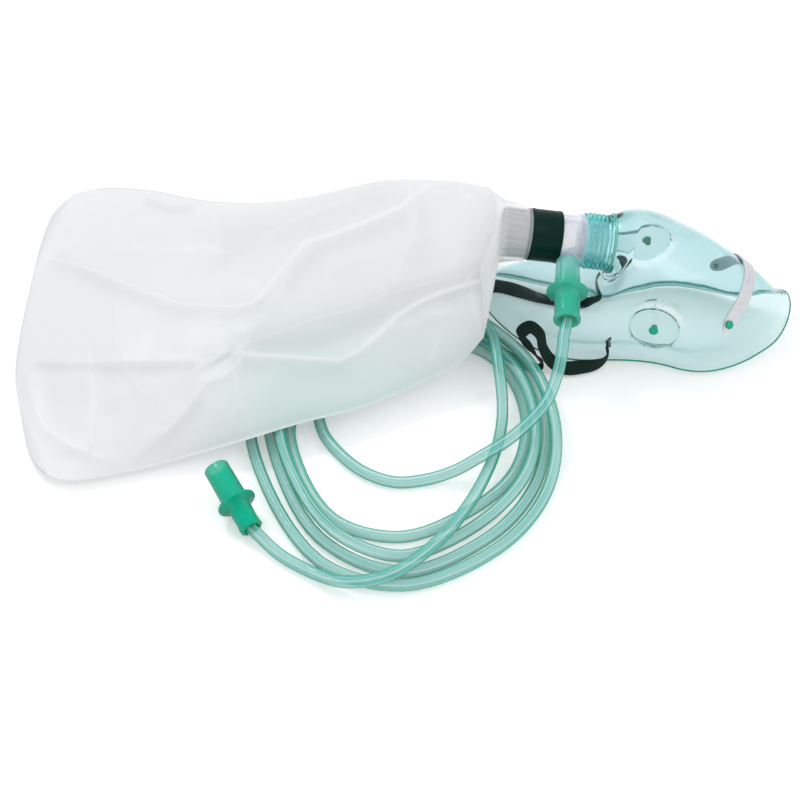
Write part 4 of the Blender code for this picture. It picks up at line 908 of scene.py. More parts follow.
# %% Rim bead and far band
BEAD_START = 168.0
BEAD_SWEEP = 206.0
BEAD_STEPS = 180
BEAD_RADIUS = 0.00038
BEAD_SIDES = 10
BAND_START = 6.0
BAND_SWEEP = 172.0
BAND_STEPS = 140
BAND_HEIGHT = 0.0056
BAND_TAPER_STEPS = 12.0
BAND_TIP = 0.1
BAND_ROW = 0.10
BAND_GAP = 0.0004
BAND_FOOT = 0.0002
BAND_HALF = 0.00015
rim = []
for i in range(BEAD_STEPS + 1):
    a = math.radians(BEAD_START + BEAD_SWEEP * i / BEAD_STEPS)
    rim.append(shell_point(0.0, a) - shell_frame(RIM_ROW, a)[1] * (MASK_WALL / 2.0))
bead_mesh = skin("rim_bead", tube_rings(rim, BEAD_RADIUS, BEAD_SIDES), caps=True)
bead = add_piece("rim_bead", bead_mesh, connector_vinyl)
band_rings = []
for i in range(BAND_STEPS + 1):
    a = math.radians(BAND_START + BAND_SWEEP * i / BAND_STEPS)
    point, normal = shell_frame(RIM_ROW, a)
    up = (shell_point(BAND_ROW, a) - shell_point(RIM_ROW, a)).normalized()
    taper = max(BAND_TIP, min(1.0, i / BAND_TAPER_STEPS, (BAND_STEPS - i) / BAND_TAPER_STEPS))
    foot = point - normal * (MASK_WALL + BAND_GAP) + up * BAND_FOOT
    top = foot + up * (BAND_HEIGHT * taper)
    thick = normal * BAND_HALF
    band_rings.append([foot + thick, top + thick, top - thick, foot - thick])
band = add_piece("far_rim_band", skin("far_rim_band", band_rings, caps=True), band_vinyl)
print("rim bead", size_of(bead), "far band", size_of(band))

# %% [markdown]
# ## The nose clip
# A strip of soft aluminium lies across the nose in a plane about square to the
# ridge. It follows the same loft as the wall, a hair above it, and each end
# is held by a small pin.

# %% Nose clip
CLIP_WIDTH = 0.0072
CLIP_SLOPE = math.radians(40.0)
CLIP_REACH = math.radians(48.0)
CLIP_SKEW = -0.07
CLIP_PLACE = 0.847
CLIP_STEPS = 72
CLIP_ROUND_STEPS = 5.0
CLIP_TIP = 0.03
CLIP_UNDER = 0.0005
CLIP_OVER = 0.0011
CLIP_MIDDLE = 0.0012
CLIP_CROWN = 0.0001
STUD_PLACE = 1.0 - 2.2 / 24.0
STUD_STEPS = 32
HALVINGS = 30
clip_plane = Vector((math.cos(CLIP_SLOPE), CLIP_SKEW, -math.sin(CLIP_SLOPE))).normalized()


def row_at(bearing, test):
    """The row of the shell where a test stops being true, by halving."""
    low = 0.0
    high = LAST_ROW
    for _ in range(HALVINGS):
        middle = (low + high) / 2.0
        if test(shell_point(middle, bearing)):
            low = middle
        else:
            high = middle
    return low


ridge = shell_point(row_at(0.0, lambda p: p.x + ORIGIN.x > CHIN_X + CLIP_PLACE * MASK_LENGTH), 0.0)


def clip_point(bearing, offset):
    """Point and normal where a plane across the nose meets the shell."""
    row = row_at(bearing, lambda p: (p - ridge).dot(clip_plane) > offset)
    return shell_frame(row, bearing)


clip_rings = []
for i in range(CLIP_STEPS + 1):
    bearing = -CLIP_REACH + 2.0 * CLIP_REACH * i / CLIP_STEPS
    end_share = min(i, CLIP_STEPS - i) / CLIP_ROUND_STEPS
    half = CLIP_WIDTH / 2.0 * math.sqrt(max(CLIP_TIP, 1.0 - max(0.0, 1.0 - end_share) ** 2))
    low_edge = clip_point(bearing, -half)[0]
    high_edge = clip_point(bearing, half)[0]
    normal = clip_point(bearing, 0.0)[1]
    middle = (low_edge + high_edge) / 2.0
    under = [point + normal * CLIP_UNDER for point in (low_edge, middle, high_edge)]
    crest = middle + normal * CLIP_MIDDLE + normal * CLIP_CROWN
    clip_rings.append(under + [high_edge + normal * CLIP_OVER, crest, low_edge + normal * CLIP_OVER])
clip_mesh = skin("nose_strip", clip_rings, caps=True, angle=50.0)
clip_piece = add_piece("nose_strip", clip_mesh, clip_aluminium, ("nose_clip",))
stud_profile = [
    (0.0002, -0.0008), (0.0013, -0.0006), (0.0013, 0.0012), (0.0019, 0.0013), (0.0021, 0.0018),
    (0.0017, 0.0025), (0.0009, 0.0029), (0.0002, 0.0030),
]
for side, sign in (("near", -1.0), ("far", 1.0)):
    seat = facing(*clip_point(sign * CLIP_REACH * STUD_PLACE, 0.0))
    add_turned(
        "clip_stud_" + side, stud_profile, seat, connector_vinyl, steps=STUD_STEPS,
        closed=False,
    )
print("nose strip", size_of(clip_piece))

# %% [markdown]
# ## Adapter, sleeve and collar
# The clear adapter has a flange against the port and a plain body. The dark
# sleeve covers its end. The bag's collar is ribbed, and its film is gathered
# over it.

# %% Chain of fittings
SPIGOT_STEPS = 48
FLAP_STEPS = 64
COLLAR_RIB_PITCH = 0.0020
COLLAR_RIB = ((0.0110, 0.0), (0.0115, 0.0004), (0.0116, 0.0009), (0.0113, 0.0014), (0.0110, 0.0016))
adapter_profile = [
    (0.0090, -0.0110), (0.0106, -0.0110), (0.0110, -0.0104), (0.0110, 0.0), (0.0125, 0.0),
    (0.0126, 0.0004), (0.0126, 0.0014), (0.0124, 0.0018), (0.0114, 0.0021), (0.0113, 0.0026),
    (0.0113, 0.0106), (0.0110, 0.0106), (0.0110, 0.0170), (0.0090, 0.0172), (0.0090, 0.0012),
    (0.0036, 0.0012), (0.0036, 0.0), (0.0090, 0.0),
]
adapter = add_turned(
    "adapter_body", adapter_profile, port_place(adapter_start), clear_plastic,
    ("valve_adapter",),
)
spigot_profile = [
    (0.0020, 0.0105), (0.0040, 0.0108), (0.0046, 0.0114), (0.0046, 0.0126), (0.0034, 0.0130),
    (0.0034, 0.0236), (0.0032, 0.0237), (0.0020, 0.0237),
]
add_turned(
    "adapter_spigot", spigot_profile, facing(inlet_origin, inlet_way), clear_plastic,
    steps=SPIGOT_STEPS,
)
sleeve_profile = [
    (0.0113, 0.0), (0.0122, 0.0), (0.0125, 0.0003), (0.0126, 0.0010), (0.0124, 0.0018), (0.0124, 0.0127),
    (0.0126, 0.0135), (0.0125, 0.0142), (0.0122, 0.0145), (0.0113, 0.0145),
]
sleeve = add_turned(
    "sleeve_band", sleeve_profile, port_place(sleeve_start), sleeve_vinyl, ("bag_sleeve",),
)
bag_collar_profile = [
    (0.0090, -0.0066), (0.0107, -0.0066), (0.0110, -0.0061), (0.0110, 0.0), (0.0122, 0.0), (0.0124, 0.0003),
    (0.0124, 0.0011), (0.0122, 0.0014), (0.0112, 0.0016),
]
for i in range(RIBS):
    start = RIB_START + COLLAR_RIB_PITCH * i
    bag_collar_profile += [(radius, start + run) for radius, run in COLLAR_RIB]
bag_collar_profile += [(0.0110, 0.0126), (0.0109, 0.0128), (0.0090, 0.0128)]
collar_piece = add_turned(
    "bag_collar_ribs", bag_collar_profile, port_place(collar_start), collar_plastic,
    ("bag_collar",),
)
flap_profile = [(0.0012, -0.0011), (0.0082, -0.0011), (0.0084, -0.0009), (0.0084, -0.0003), (0.0012, -0.0003)]
add_turned(
    "one_way_flap", flap_profile, port_place(adapter_start), silicone,
    ("inhalation_valve",), steps=FLAP_STEPS,
)
print("adapter", size_of(adapter), "sleeve", size_of(sleeve), "collar", size_of(collar_piece))

# %% [markdown]
# ## The strap
# Flat elastic is modelled directly, since a simulation would lose its edges.
# Each row of the table is a place, the way the width points, and how much of
# the width is open where the band is gathered through a slot.

# %% Strap
STRAP_WIDTH = 0.0070
STRAP_HALF_THICK = 0.00045
STRAP_SPAN_STEPS = 14
STRAP_POINTS = 9
STRAP_INSET = 0.0001
TOOTH = 0.00012
RIB_HEIGHT = 0.00008
RIB_WAVES = 4.0
SLOT_X = 0.1010
SLOT_HEIGHT = 0.0056
STRAP_FAR = (
    (0.1190, 0.1030, 0.0045, 0.2, 0.4, 0.8, 0.70), (0.1115, 0.1010, 0.0045, 0.3, 0.3, 0.8, 0.70),
    (0.1065, 0.0930, 0.0048, 0.0, 0.0, 1.0, 0.62), (0.1025, 0.0870, 0.0054, 0.0, 0.0, 1.0, 0.62),
    (SLOT_X, 0.0819, SLOT_HEIGHT, 0.0, 0.0, 1.0, 0.62), (SLOT_X, 0.0747, SLOT_HEIGHT, 0.0, 0.0, 1.0, 0.62),
)
STRAP_BETWEEN = (
    (0.0975, 0.0722, 0.0048, 0.1, 0.1, 1.0, 0.66), (0.0930, 0.0705, 0.0038, 0.0, 0.5, 0.8, 0.80),
    (0.0860, 0.0715, 0.0028, 0.1, 0.8, 0.4, 1.00), (0.0775, 0.0738, 0.0019, 0.3, 1.0, 0.1, 1.00),
    (0.0700, 0.0762, 0.0017, 0.3, 1.0, 0.1, 1.00), (0.0635, 0.0790, 0.0022, 0.3, 0.9, 0.4, 1.00),
    (0.0560, 0.0818, 0.0030, 0.2, 0.7, 0.7, 1.00), (0.0450, 0.0850, 0.0030, 0.1, 0.7, 0.7, 1.00),
    (0.0300, 0.0930, 0.0010, 0.4, 1.0, 0.0, 1.00), (0.0140, 0.0990, 0.0009, 0.1, 1.0, 0.0, 1.00),
    (0.0030, 0.0960, 0.0009, 1.0, 0.0, 0.0, 1.00), (0.0045, 0.0875, 0.0009, 0.9, -0.6, 0.0, 1.00),
    (0.0170, 0.0850, 0.0009, -0.4, -1.0, 0.0, 1.00), (0.0280, 0.0770, 0.0009, -0.7, -0.7, 0.0, 1.00),
    (0.0335, 0.0660, 0.0009, -1.0, -0.4, 0.0, 1.00), (0.0365, 0.0530, 0.0009, -1.0, -0.3, 0.0, 1.00),
    (0.0430, 0.0410, 0.0009, -0.9, -0.6, 0.0, 1.00), (0.0519, 0.0320, 0.0009, -0.7, -0.7, 0.0, 1.00),
    (0.0600, 0.0250, 0.0009, -0.6, -0.8, 0.0, 1.00), (0.0665, 0.0216, 0.0016, -0.3, -1.0, 0.1, 1.00),
    (0.0690, 0.0212, 0.0045, 0.0, -1.0, 0.0, 0.90), (0.0655, 0.0222, 0.0090, 0.3, -0.8, 0.2, 0.90),
    (0.0610, 0.0245, 0.0145, 0.7, -0.6, 0.3, 0.90), (0.0582, 0.0262, 0.0195, 0.5, -0.8, -0.3, 1.00),
    (0.0622, 0.0272, 0.0226, 0.0, -0.9, -0.4, 1.00), (0.0672, 0.0262, 0.0188, -0.5, -0.8, -0.3, 0.90),
    (0.0688, 0.0235, 0.0129, -0.7, -0.7, -0.1, 0.80), (0.0732, 0.0205, 0.0068, -0.4, -0.7, -0.5, 0.95),
    (0.0800, 0.0180, 0.0046, 0.0, -0.6, -0.8, 1.00), (0.0875, 0.0190, 0.0044, 0.1, -0.6, -0.8, 1.00),
    (0.0945, 0.0202, 0.0048, 0.0, -0.3, -1.0, 0.85), (0.0988, 0.0225, 0.0054, 0.0, 0.0, -1.0, 0.66),
)
STRAP_NEAR = (
    (SLOT_X, 0.0271, SLOT_HEIGHT, 0.0, 0.0, -1.0, 0.62),
    (SLOT_X, 0.0343, SLOT_HEIGHT, 0.0, 0.0, -1.0, 0.62), (0.1018, 0.0362, 0.0056, 0.0, 0.0, -1.0, 0.62),
    (0.1032, 0.0376, 0.0056, 0.0, 0.0, -1.0, 0.70),
)
strap_rows = through(STRAP_FAR + STRAP_BETWEEN + STRAP_NEAR, STRAP_SPAN_STEPS)
middles = [at(*row[:3]) for row in strap_rows]
strap_rings = []
strap_lengths = [0.0]
for k, row in enumerate(strap_rows):
    way = (middles[min(k + 1, len(middles) - 1)] - middles[max(k - 1, 0)]).normalized()
    width = Vector(row[3:6])
    width = (width - way * width.dot(way)).normalized()
    face = way.cross(width)
    if k:
        strap_lengths.append(strap_lengths[-1] + (middles[k] - middles[k - 1]).length)
    tooth = TOOTH * (1.0 if k % 2 else -1.0)
    half = STRAP_WIDTH * row[6] / 2.0 - STRAP_INSET
    front = []
    back = []
    for i in range(STRAP_POINTS):
        share = -1.0 + 2.0 * i / (STRAP_POINTS - 1)
        reach = half + tooth if abs(share) == 1.0 else half
        rib = RIB_HEIGHT * math.cos(share * math.pi * RIB_WAVES)
        thick = (STRAP_HALF_THICK + rib) * (1.0 - 0.5 * abs(share) ** 6)
        front.append(middles[k] + width * (share * reach) + face * thick)
        back.append(middles[k] + width * (share * reach) - face * thick)
    strap_rings.append(front + list(reversed(back)))
strap_mesh = skin("head_strap", strap_rings, caps=True, angle=50.0, uv=strap_lengths)
add_piece("head_strap", strap_mesh, strap_elastic, ("elastic_strap",))
print("strap length", round(strap_lengths[-1], 4), "m")

# %% [markdown]
# ## The reservoir bag
# The bag is two sheets of frosted film welded along their edges and half full
# of gas. Its four edges are drawn as curves, the surface between them is
# blended from all four, and gas pressure is a crown on top of that. Creases
# are drawn as lines over the picture of the bag and pressed into the sheet.

# %% Outline of the bag
LEFT_EDGE = (
    (-0.1573, -0.0568, 0.0045), (-0.1638, -0.0503, 0.0045), (-0.1692, -0.0413, 0.0045),
    (-0.1784, -0.0115, 0.0045), (-0.1845, 0.0120, 0.0045), (-0.1872, 0.0400, 0.0048),
    (-0.1884, 0.0800, 0.0050), (-0.1887, 0.1200, 0.0050), (-0.1860, 0.1450, 0.0052),
    (-0.1780, 0.1610, 0.0055),
)
FAR_EDGE = (
    (-0.1780, 0.1610, 0.0055), (-0.1640, 0.1660, 0.0062), (-0.1362, 0.1615, 0.0080),
    (-0.1077, 0.1498, 0.0100), (-0.0803, 0.1442, 0.0120), (-0.0588, 0.1442, 0.0140),
    (-0.0374, 0.1464, 0.0170), (-0.0107, 0.1500, 0.0220), (0.0106, 0.1440, 0.0270),
    (0.0300, 0.1310, 0.0340), (0.0450, 0.1170, 0.0400),
)
NEAR_EDGE = (
    (-0.1573, -0.0568, 0.0045), (-0.1515, -0.0590, 0.0045), (-0.1440, -0.0594, 0.0045),
    (-0.1261, -0.0549, 0.0045), (-0.1086, -0.0496, 0.0048), (-0.0907, -0.0450, 0.0075),
    (-0.0680, -0.0400, 0.0120), (-0.0458, -0.0304, 0.0125), (-0.0185, -0.0202, 0.0127),
    (0.0094, -0.0034, 0.0132), (0.0284, 0.0075, 0.0165), (0.0400, 0.0205, 0.0215),
)
RIGHT_EDGE = (
    (0.0400, 0.0205, 0.0215), (0.0392, 0.0330, 0.0260), (0.0382, 0.0430, 0.0295), (0.0425, 0.0520, 0.0330),
    (0.0452, 0.0680, 0.0375), (0.0462, 0.0880, 0.0400), (0.0450, 0.1170, 0.0400),
)
EDGE_SPAN_STEPS = 24
ALONG = 280
ACROSS = 210


def even_curve(points, count):
    """Points of a smooth curve, evenly spaced along it."""
    dense = np.array(through(points, EDGE_SPAN_STEPS))
    steps = np.linalg.norm(np.diff(dense, axis=0), axis=1)
    places = np.concatenate([[0.0], np.cumsum(steps)])
    wanted = np.linspace(0.0, places[-1], count)
    return np.stack([np.interp(wanted, places, dense[:, c]) for c in range(3)], axis=1)


far_line = even_curve(FAR_EDGE, ALONG)
near_line = even_curve(NEAR_EDGE, ALONG)
left_line = even_curve(LEFT_EDGE, ACROSS)
right_line = even_curve(RIGHT_EDGE, ACROSS)
s = np.linspace(0.0, 1.0, ALONG)[:, None, None]
t = np.linspace(0.0, 1.0, ACROSS)[None, :, None]
ruled_s = (1.0 - t) * near_line[:, None, :] + t * far_line[:, None, :]
ruled_t = (1.0 - s) * left_line[None, :, :] + s * right_line[None, :, :]
corners = (
    (1.0 - s) * (1.0 - t) * near_line[0] + s * (1.0 - t) * near_line[-1]
    + (1.0 - s) * t * far_line[0] + s * t * far_line[-1]
)
flat = ruled_s + ruled_t - corners
print("bag patch", flat.shape)

# %% [markdown]
# The crown is high near the neck and dies away at the closed end. The creases
# below are lines over the picture, in pixels, so each vertex is first projected
# through the camera to see which of them it is near. A row of CREASES is a line,
# its reach, the height of its ridge and of its step in metres before RELIEF
# scales them, the reach of the painted highlight along its crest and how strong
# that is. A row of SHADES is a line, its reach and how dark its painted shade is.
# The same lines are drawn on the vertices as two values, a painted highlight along
# the crests and a painted shade, which the material of the film reads.

# %% Crown and creases
BAG_LENGTH = 0.232
WELD = 0.0018
SEAM = 0.0011
CLOSED_END = 0.060
SIDE_POWER = 0.72
END_POWER = 0.7
UNDER_POWER = 0.8
UNDER_GAP = 0.0004
HALF_FILM = 0.0003
FILM_GAP = 0.0006
RELIEF = 0.5
STEP_SOFTNESS = 7.0
QUIET_SIDES = 0.06
QUIET_END = 0.15
SLOW_NOISE = (16.0, 26.0, 0.0, 0.4)
QUICK_NOISE = (60.0, 75.0, 9.0, 1.7)
FOLD_NOISE = (34.0, 46.0, 3.1, 5.2)
SLOW_HEIGHT = 0.0016
QUICK_HEIGHT = 0.0005
FOLD_HIGHLIGHT = 0.30
FOLD_SHARPNESS = 9.0
SEAM_SHADE = 0.9
SWELL_PLACES = (0.0, 0.08, 0.2, 0.4, 0.6, 0.8, 0.93, 1.0)
SWELL_HEIGHTS = (0.008, 0.012, 0.017, 0.021, 0.023, 0.023, 0.021, 0.018)
UNDER_PLACES = (-0.19, -0.118, -0.09, -0.062, -0.006, 0.015, 0.03, 0.045)
UNDER_HEIGHTS = (0.0010, 0.0010, 0.0042, 0.0130, 0.0132, 0.0170, 0.0218, 0.0300)
s1 = s[:, :, 0]
t1 = t[:, :, 0]
wide = np.linalg.norm(far_line - near_line, axis=1)[:, None]
inset = WELD / wide
across_share = np.clip((t1 - inset) / (1.0 - 2.0 * inset), 0.0, 1.0)
along_share = np.clip((s1 * BAG_LENGTH - WELD) / CLOSED_END, 0.0, 1.0)
swell = np.interp(s1, SWELL_PLACES, SWELL_HEIGHTS)
round_off = np.sin(np.pi * across_share) ** SIDE_POWER
end_off = np.sin(np.pi / 2.0 * along_share) ** END_POWER
crown = swell * round_off * end_off
upper = flat.copy()
upper[:, :, 2] += crown + HALF_FILM


def pixels(points):
    """Where layout points fall in the picture."""
    depth = points[..., 1] * math.cos(VIEW_HEIGHT) - points[..., 2] * math.sin(VIEW_HEIGHT) + VIEW_DISTANCE
    rise = points[..., 1] * math.sin(VIEW_HEIGHT) + points[..., 2] * math.cos(VIEW_HEIGHT)
    middle = PICTURE_SIZE / 2.0
    right = middle + FOCAL_PIXELS * points[..., 0] / depth
    down = middle - FOCAL_PIXELS * rise / depth
    return np.stack([right, down], axis=-1)


def line_distance(spots, line):
    """Distance of every spot from a line in pixels, plain and with its side as sign."""
    best = np.full(spots.shape[:2], 1e9)
    signed = np.zeros(spots.shape[:2])
    for here, there in zip(line, line[1:]):
        a = np.array(here, dtype=float)
        span = np.array(there, dtype=float) - a
        share = np.clip(((spots - a) @ span) / (span @ span), 0.0, 1.0)
        offset = spots - (a + share[..., None] * span)
        distance = np.linalg.norm(offset, axis=-1)
        side = np.sign(span[0] * (spots[..., 1] - a[1]) - span[1] * (spots[..., 0] - a[0]))
        closer = distance < best
        best[closer] = distance[closer]
        signed[closer] = (side * distance)[closer]
    return best, signed


def ruffle(place, along, across, shift, layer):
    """Smooth noise from -1 to 1, with its own scale along and across the bag."""
    return noise.noise(Vector((place.x * along + shift, place.y * across, layer)))


CREASES = (
    (((47, 257), (98, 271), (140, 289), (182, 302), (218, 306), (249, 306)), 7.0, 0.0010, 0.0006, 1.4, 0.7),
    (((249, 306), (259, 298), (280, 274), (303, 246), (330, 237), (361, 225), (400, 209), (413, 198),
      (430, 187)), 9.0, 0.0020, 0.0010, 2.2, 1.0),
    (((234, 354), (257, 341), (286, 331), (322, 318), (361, 307), (394, 292), (430, 284), (491, 272)),
     9.0, 0.0008, -0.0018, 1.2, 0.5),
    (((242, 356), (270, 357), (303, 359), (338, 362), (360, 352), (384, 333), (397, 318), (420, 303),
      (442, 294), (478, 284), (494, 277)), 6.0, 0.0024, 0.0006, 2.2, 1.0),
    (((30, 361), (60, 362), (110, 361), (192, 361)), 6.0, 0.0007, 0.0005, 1.3, 0.6),
    (((28, 378), (39, 417), (49, 430), (75, 446), (111, 461)), 8.0, 0.0016, 0.0006, 2.4, 0.8),
    (((129, 464), (147, 446), (166, 432), (192, 402), (205, 385), (225, 378), (238, 365), (244, 356)),
     7.0, 0.0018, -0.0006, 2.0, 0.9),
    (((234, 372), (238, 398), (251, 430), (257, 441)), 9.0, 0.0008, 0.0006, 2.4, 0.4),
    (((415, 203), (413, 235), (403, 258), (394, 284)), 12.0, 0.0010, 0.0006, 3.0, 0.3),
    (((186, 250), (205, 246), (222, 252)), 8.0, 0.0008, 0.0003, 2.4, 0.7),
    (((148, 198), (166, 205), (188, 204)), 8.0, 0.0008, -0.0005, 2.0, 0.3),
    (((424, 318), (436, 314), (448, 313)), 6.0, 0.0008, 0.0004, 1.6, 0.6),
    (((427, 373), (431, 358), (437, 345)), 7.0, 0.0008, 0.0004, 1.8, 0.5),
    (((384, 333), (400, 328), (413, 325)), 6.0, 0.0007, 0.0003, 1.4, 0.4),
    (((303, 246), (283, 290), (262, 318), (244, 332)), 16.0, 0.0008, -0.0010, 5.0, 0.2),
    (((52, 196), (44, 232), (38, 262)), 10.0, 0.0010, 0.0005, 4.0, 0.4),
    (((470, 296), (476, 312), (480, 330)), 7.0, 0.0010, -0.0006, 1.8, 0.6),
    (((460, 190), (476, 204), (486, 232)), 9.0, 0.0010, 0.0006, 2.4, 0.4),
    (((211, 206), (216, 230), (218, 253)), 8.0, 0.0006, 0.0004, 2.2, 0.35),
    (((133, 245), (166, 250), (218, 253)), 7.0, 0.0006, 0.0003, 2.0, 0.35),
    (((91, 378), (92, 405), (91, 440)), 9.0, 0.0007, 0.0004, 3.0, 0.35),
    (((124, 365), (134, 382), (147, 394)), 7.0, 0.0006, -0.0003, 2.0, 0.3),
    (((351, 199), (303, 214), (262, 238)), 12.0, 0.0006, -0.0006, 3.0, 0.25),
    (((492, 250), (478, 272), (459, 290)), 7.0, 0.0010, 0.0005, 2.2, 0.5),
)
SHADES = (
    (((60, 262), (120, 290), (182, 312), (245, 314)), 9.0, 0.5),
    (((262, 312), (292, 280), (320, 252), (400, 222)), 10.0, 0.5),
    (((265, 349), (320, 338), (372, 318), (430, 296), (480, 282)), 11.0, 0.8),
    (((250, 366), (300, 372), (345, 372)), 10.0, 0.5),
    (((140, 462), (170, 440), (198, 408)), 8.0, 0.5), (((40, 366), (110, 369), (190, 368)), 6.0, 0.5),
    (((150, 202), (172, 211), (190, 209)), 6.0, 0.5), (((230, 240), (300, 222), (380, 190)), 22.0, 0.4),
    (((420, 210), (428, 240), (420, 262)), 12.0, 0.3),
    (((218, 262), (244, 248), (303, 218), (351, 202)), 9.0, 0.35),
)
spots = pixels(upper)
press = np.zeros(spots.shape[:2])
painted_highlight = np.zeros(spots.shape[:2])
# Each row of CREASES presses relief into the sheet and leaves a painted highlight along its crest.
for line, reach, height, step, thin, white in CREASES:
    distance, signed = line_distance(spots, line)
    raised = height * np.exp(-(distance / reach) ** 1.5)
    stepped = step * np.tanh(signed / STEP_SOFTNESS) * np.exp(-(distance / (3.0 * reach)) ** 2)
    press += raised + stepped
    painted_highlight = np.maximum(painted_highlight, white * np.exp(-(distance / thin) ** 2))
dark = np.zeros(spots.shape[:2])
for line, reach, depth in SHADES:
    distance = line_distance(spots, line)[0]
    dark = np.maximum(dark, depth * np.exp(-(distance / reach) ** 2))
quiet = np.clip(np.minimum(across_share, 1.0 - across_share) / QUIET_SIDES, 0.0, 1.0)
quiet = quiet * np.clip(along_share / QUIET_END, 0.0, 1.0)
small = np.zeros(spots.shape[:2])
for i in range(ALONG):
    for k in range(ACROSS):
        place = Vector(upper[i, k])
        slow = ruffle(place, *SLOW_NOISE)
        small[i, k] = SLOW_HEIGHT * slow + QUICK_HEIGHT * ruffle(place, *QUICK_NOISE)
        # The crests of the fold noise get a painted highlight too.
        fold = 1.0 - abs(ruffle(place, *FOLD_NOISE)) * FOLD_SHARPNESS
        painted_highlight[i, k] = max(painted_highlight[i, k], FOLD_HIGHLIGHT * max(0.0, fold) ** 2 * max(0.0, slow + 0.3))
upper[:, :, 2] += (press * RELIEF + small) * quiet
painted_highlight *= quiet
side_seams = np.exp(-(np.minimum(t1, 1.0 - t1) * wide / SEAM) ** 2)
edge_line = side_seams + np.exp(-(s1 * BAG_LENGTH / SEAM) ** 2)
dark = np.clip(dark * quiet + SEAM_SHADE * edge_line, 0.0, 1.0)
under_line = np.interp(flat[:, ACROSS // 2, 0], UNDER_PLACES, UNDER_HEIGHTS)[:, None]
lower = flat.copy()
under = np.minimum(under_line, flat[:, :, 2] - UNDER_GAP)
lower[:, :, 2] += (under - flat[:, :, 2]) * round_off ** UNDER_POWER * np.clip(end_off, 0.0, 1.0) - HALF_FILM
lower[:, :, 2] = np.maximum(lower[:, :, 2], FILM_GAP)
upper[:, :, 2] = np.maximum(upper[:, :, 2], lower[:, :, 2] + FILM_GAP)
print("highest fold", round(float(upper[:, :, 2].max()), 4))

# %% [markdown]
# From its last section the film draws in round the collar. Each ring there is
# a blend of the flat section and a circle, with pleats that grow towards the
# neck.

# %% Bag mesh
NECK_STEPS = 26
UNDER_POINTS = 60
LIP_PLACE = 0.0014
TAIL_PLACE = 0.0128
SHOULDER_PLACE = 0.0010
SHOULDER_RADIUS = 0.0150
SHOULDER_BULGE = 0.0020
NECK_RADIUS = 0.0132
NECK_GROWTH = 0.0018
LIP_RADIUS = 0.0126
LINING_RADIUS = 0.0120
PLEATS = ((17.0, 0.6, 0.5), (29.0, 2.0, 0.3), (7.0, 0.0, 0.4))
bag_rings = []
under_index = np.linspace(ACROSS - 2, 1, UNDER_POINTS).astype(int)
for i in range(ALONG):
    ring = [at(*point) for point in upper[i]]
    ring += [at(*lower[i, k]) for k in under_index]
    bag_rings.append(ring)
last_ring = bag_rings[-1]
count = len(last_ring)
bearings_neck = []
for k in range(ACROSS):
    bearings_neck.append(-math.pi / 2.0 + math.pi * k / (ACROSS - 1))
for k in range(UNDER_POINTS):
    bearings_neck.append(math.pi / 2.0 + math.pi * (k + 1) / (UNDER_POINTS + 1))
lip = collar_start + LIP_PLACE + FIT
tail = collar_start + TAIL_PLACE + FIT


def pleat(a, share):
    """Uneven pleats round the neck, deeper away from the collar."""
    wave = sum(math.sin(number * a + shift) * depth for number, shift, depth in PLEATS)
    return wave * (0.0002 + 0.0008 * share)


shoulder = [port_point(tail + SHOULDER_PLACE, SHOULDER_RADIUS + pleat(a, 1.0), a) for a in bearings_neck]
for n in range(1, NECK_STEPS + 1):
    share = n / NECK_STEPS
    bulge = math.sin(math.pi * share) * SHOULDER_BULGE
    ring = []
    for here, there in zip(last_ring, shoulder):
        point = here.lerp(there, share)
        out = point - (port_base + port_axis * tail)
        ring.append(point + out.normalized() * bulge)
    bag_rings.append(ring)
for n in range(1, NECK_STEPS + 1):
    share = 1.0 - n / NECK_STEPS
    distance = lip + (tail + SHOULDER_PLACE - lip) * share
    radius = NECK_RADIUS + NECK_GROWTH * share ** 1.5
    bag_rings.append([port_point(distance, radius + pleat(a, share), a) for a in bearings_neck])
for distance, radius in ((lip, LIP_RADIUS), (lip, LINING_RADIUS), (tail, LINING_RADIUS)):
    bag_rings.append(port_ring(distance, radius, bearings_neck))
bag_mesh = skin("gas_bag", bag_rings, caps=True, angle=80.0)
# Draw the painted highlight and the painted shade on the vertices for the film's material.
for title, values in (("crease_highlight", painted_highlight), ("shade", dark)):
    drawn = np.zeros((len(bag_rings), count))
    drawn[:ALONG, :ACROSS] = values
    draw(bag_mesh, title, drawn)
add_piece("gas_bag", bag_mesh, bag_film, ("reservoir_bag",))
print("bag faces", len(bag_mesh.polygons))

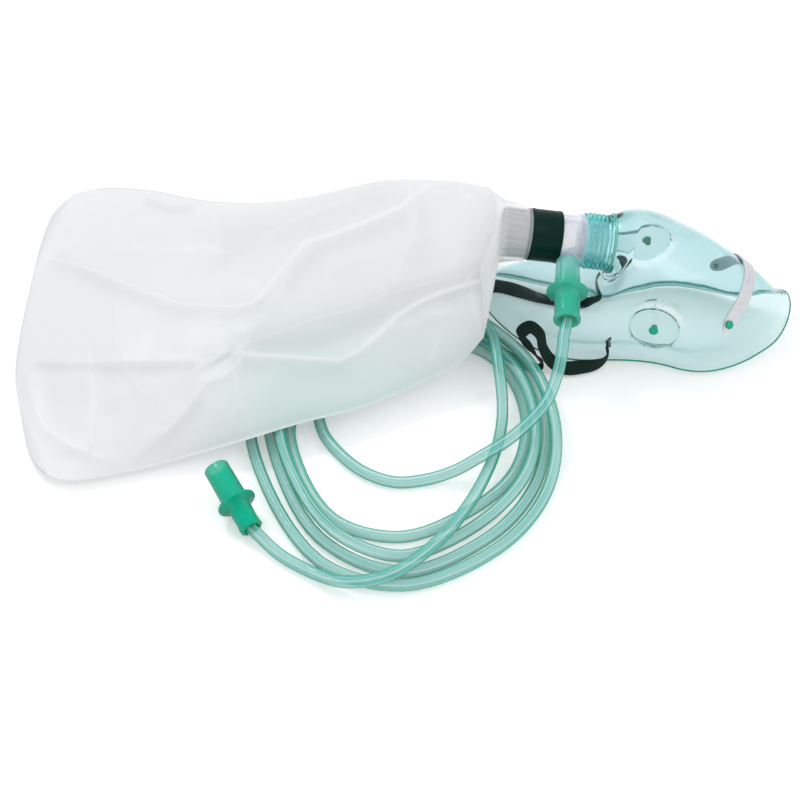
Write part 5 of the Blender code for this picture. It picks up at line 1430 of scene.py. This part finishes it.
# %% [markdown]
# ## Floor and light
# The floor is white and plain. Camera, glossy and transmission rays also see a
# little of its own light, so that it reads as paper white while the soft
# shadows stay. Two broad lamps and a white world light the object evenly.

# %% Floor
FLOOR_CORNERS = ((-6.0, -3.0, 0.0), (6.0, -3.0, 0.0), (6.0, 12.0, 0.0), (-6.0, 12.0, 0.0))
floor_shop = Shop("floor_white")
glow = floor_shop.mix(floor_shop.seen(), BLACK, WHITE)
floor_shop.finish(
    Base_Color=(0.86, 0.86, 0.86, 1.0), Roughness=0.9, Specular_IOR_Level=0.0, Emission_Color=glow,
    Emission_Strength=0.34,
)
floor_mesh = bpy.data.meshes.new("floor")
floor_mesh.from_pydata(FLOOR_CORNERS, [], [(0, 1, 2, 3)])
floor_mesh.materials.append(floor_shop.owner)
floor = bpy.data.objects.new("floor", floor_mesh)
bpy.context.scene.collection.objects.link(floor)
print("floor ready")

# %% World and lamps
world = bpy.data.worlds.new("studio")
bpy.context.scene.world = world
sky = Shop(world)
lit = sky.node("ShaderNodeBackground", inputs={"Color": (0.985, 0.99, 1.0, 1.0), "Strength": 0.78})
shown = sky.node("ShaderNodeBackground", inputs={"Color": WHITE, "Strength": 1.0})
both = sky.node("ShaderNodeMixShader", inputs={0: sky.seen(), 1: lit, 2: shown})
sky.fill(sky.tree.nodes["World Output"].inputs["Surface"], both)


def lamp(name, place, aim, size, power):
    """A square soft lamp that looks at a point."""
    data = bpy.data.lights.new(name, "AREA")
    data.shape = "SQUARE"
    data.size = size
    data.energy = power
    item = bpy.data.objects.new(name, data)
    bpy.context.scene.collection.objects.link(item)
    item.location = place
    item.rotation_euler = (Vector(aim) - Vector(place)).to_track_quat("-Z", "Y").to_euler()


lamp("key_lamp", (-0.55, 0.55, 0.95), (0.0, 0.0, 0.02), 0.30, 3.6)
lamp("fill_lamp", (0.75, -0.35, 0.85), (0.05, 0.0, 0.02), 0.60, 1.6)
print("lamps ready")

# %% [markdown]
# ## View settings
# Standard view shows colours as they are written.

# %% Finish
bpy.context.scene.view_settings.view_transform = "Standard"
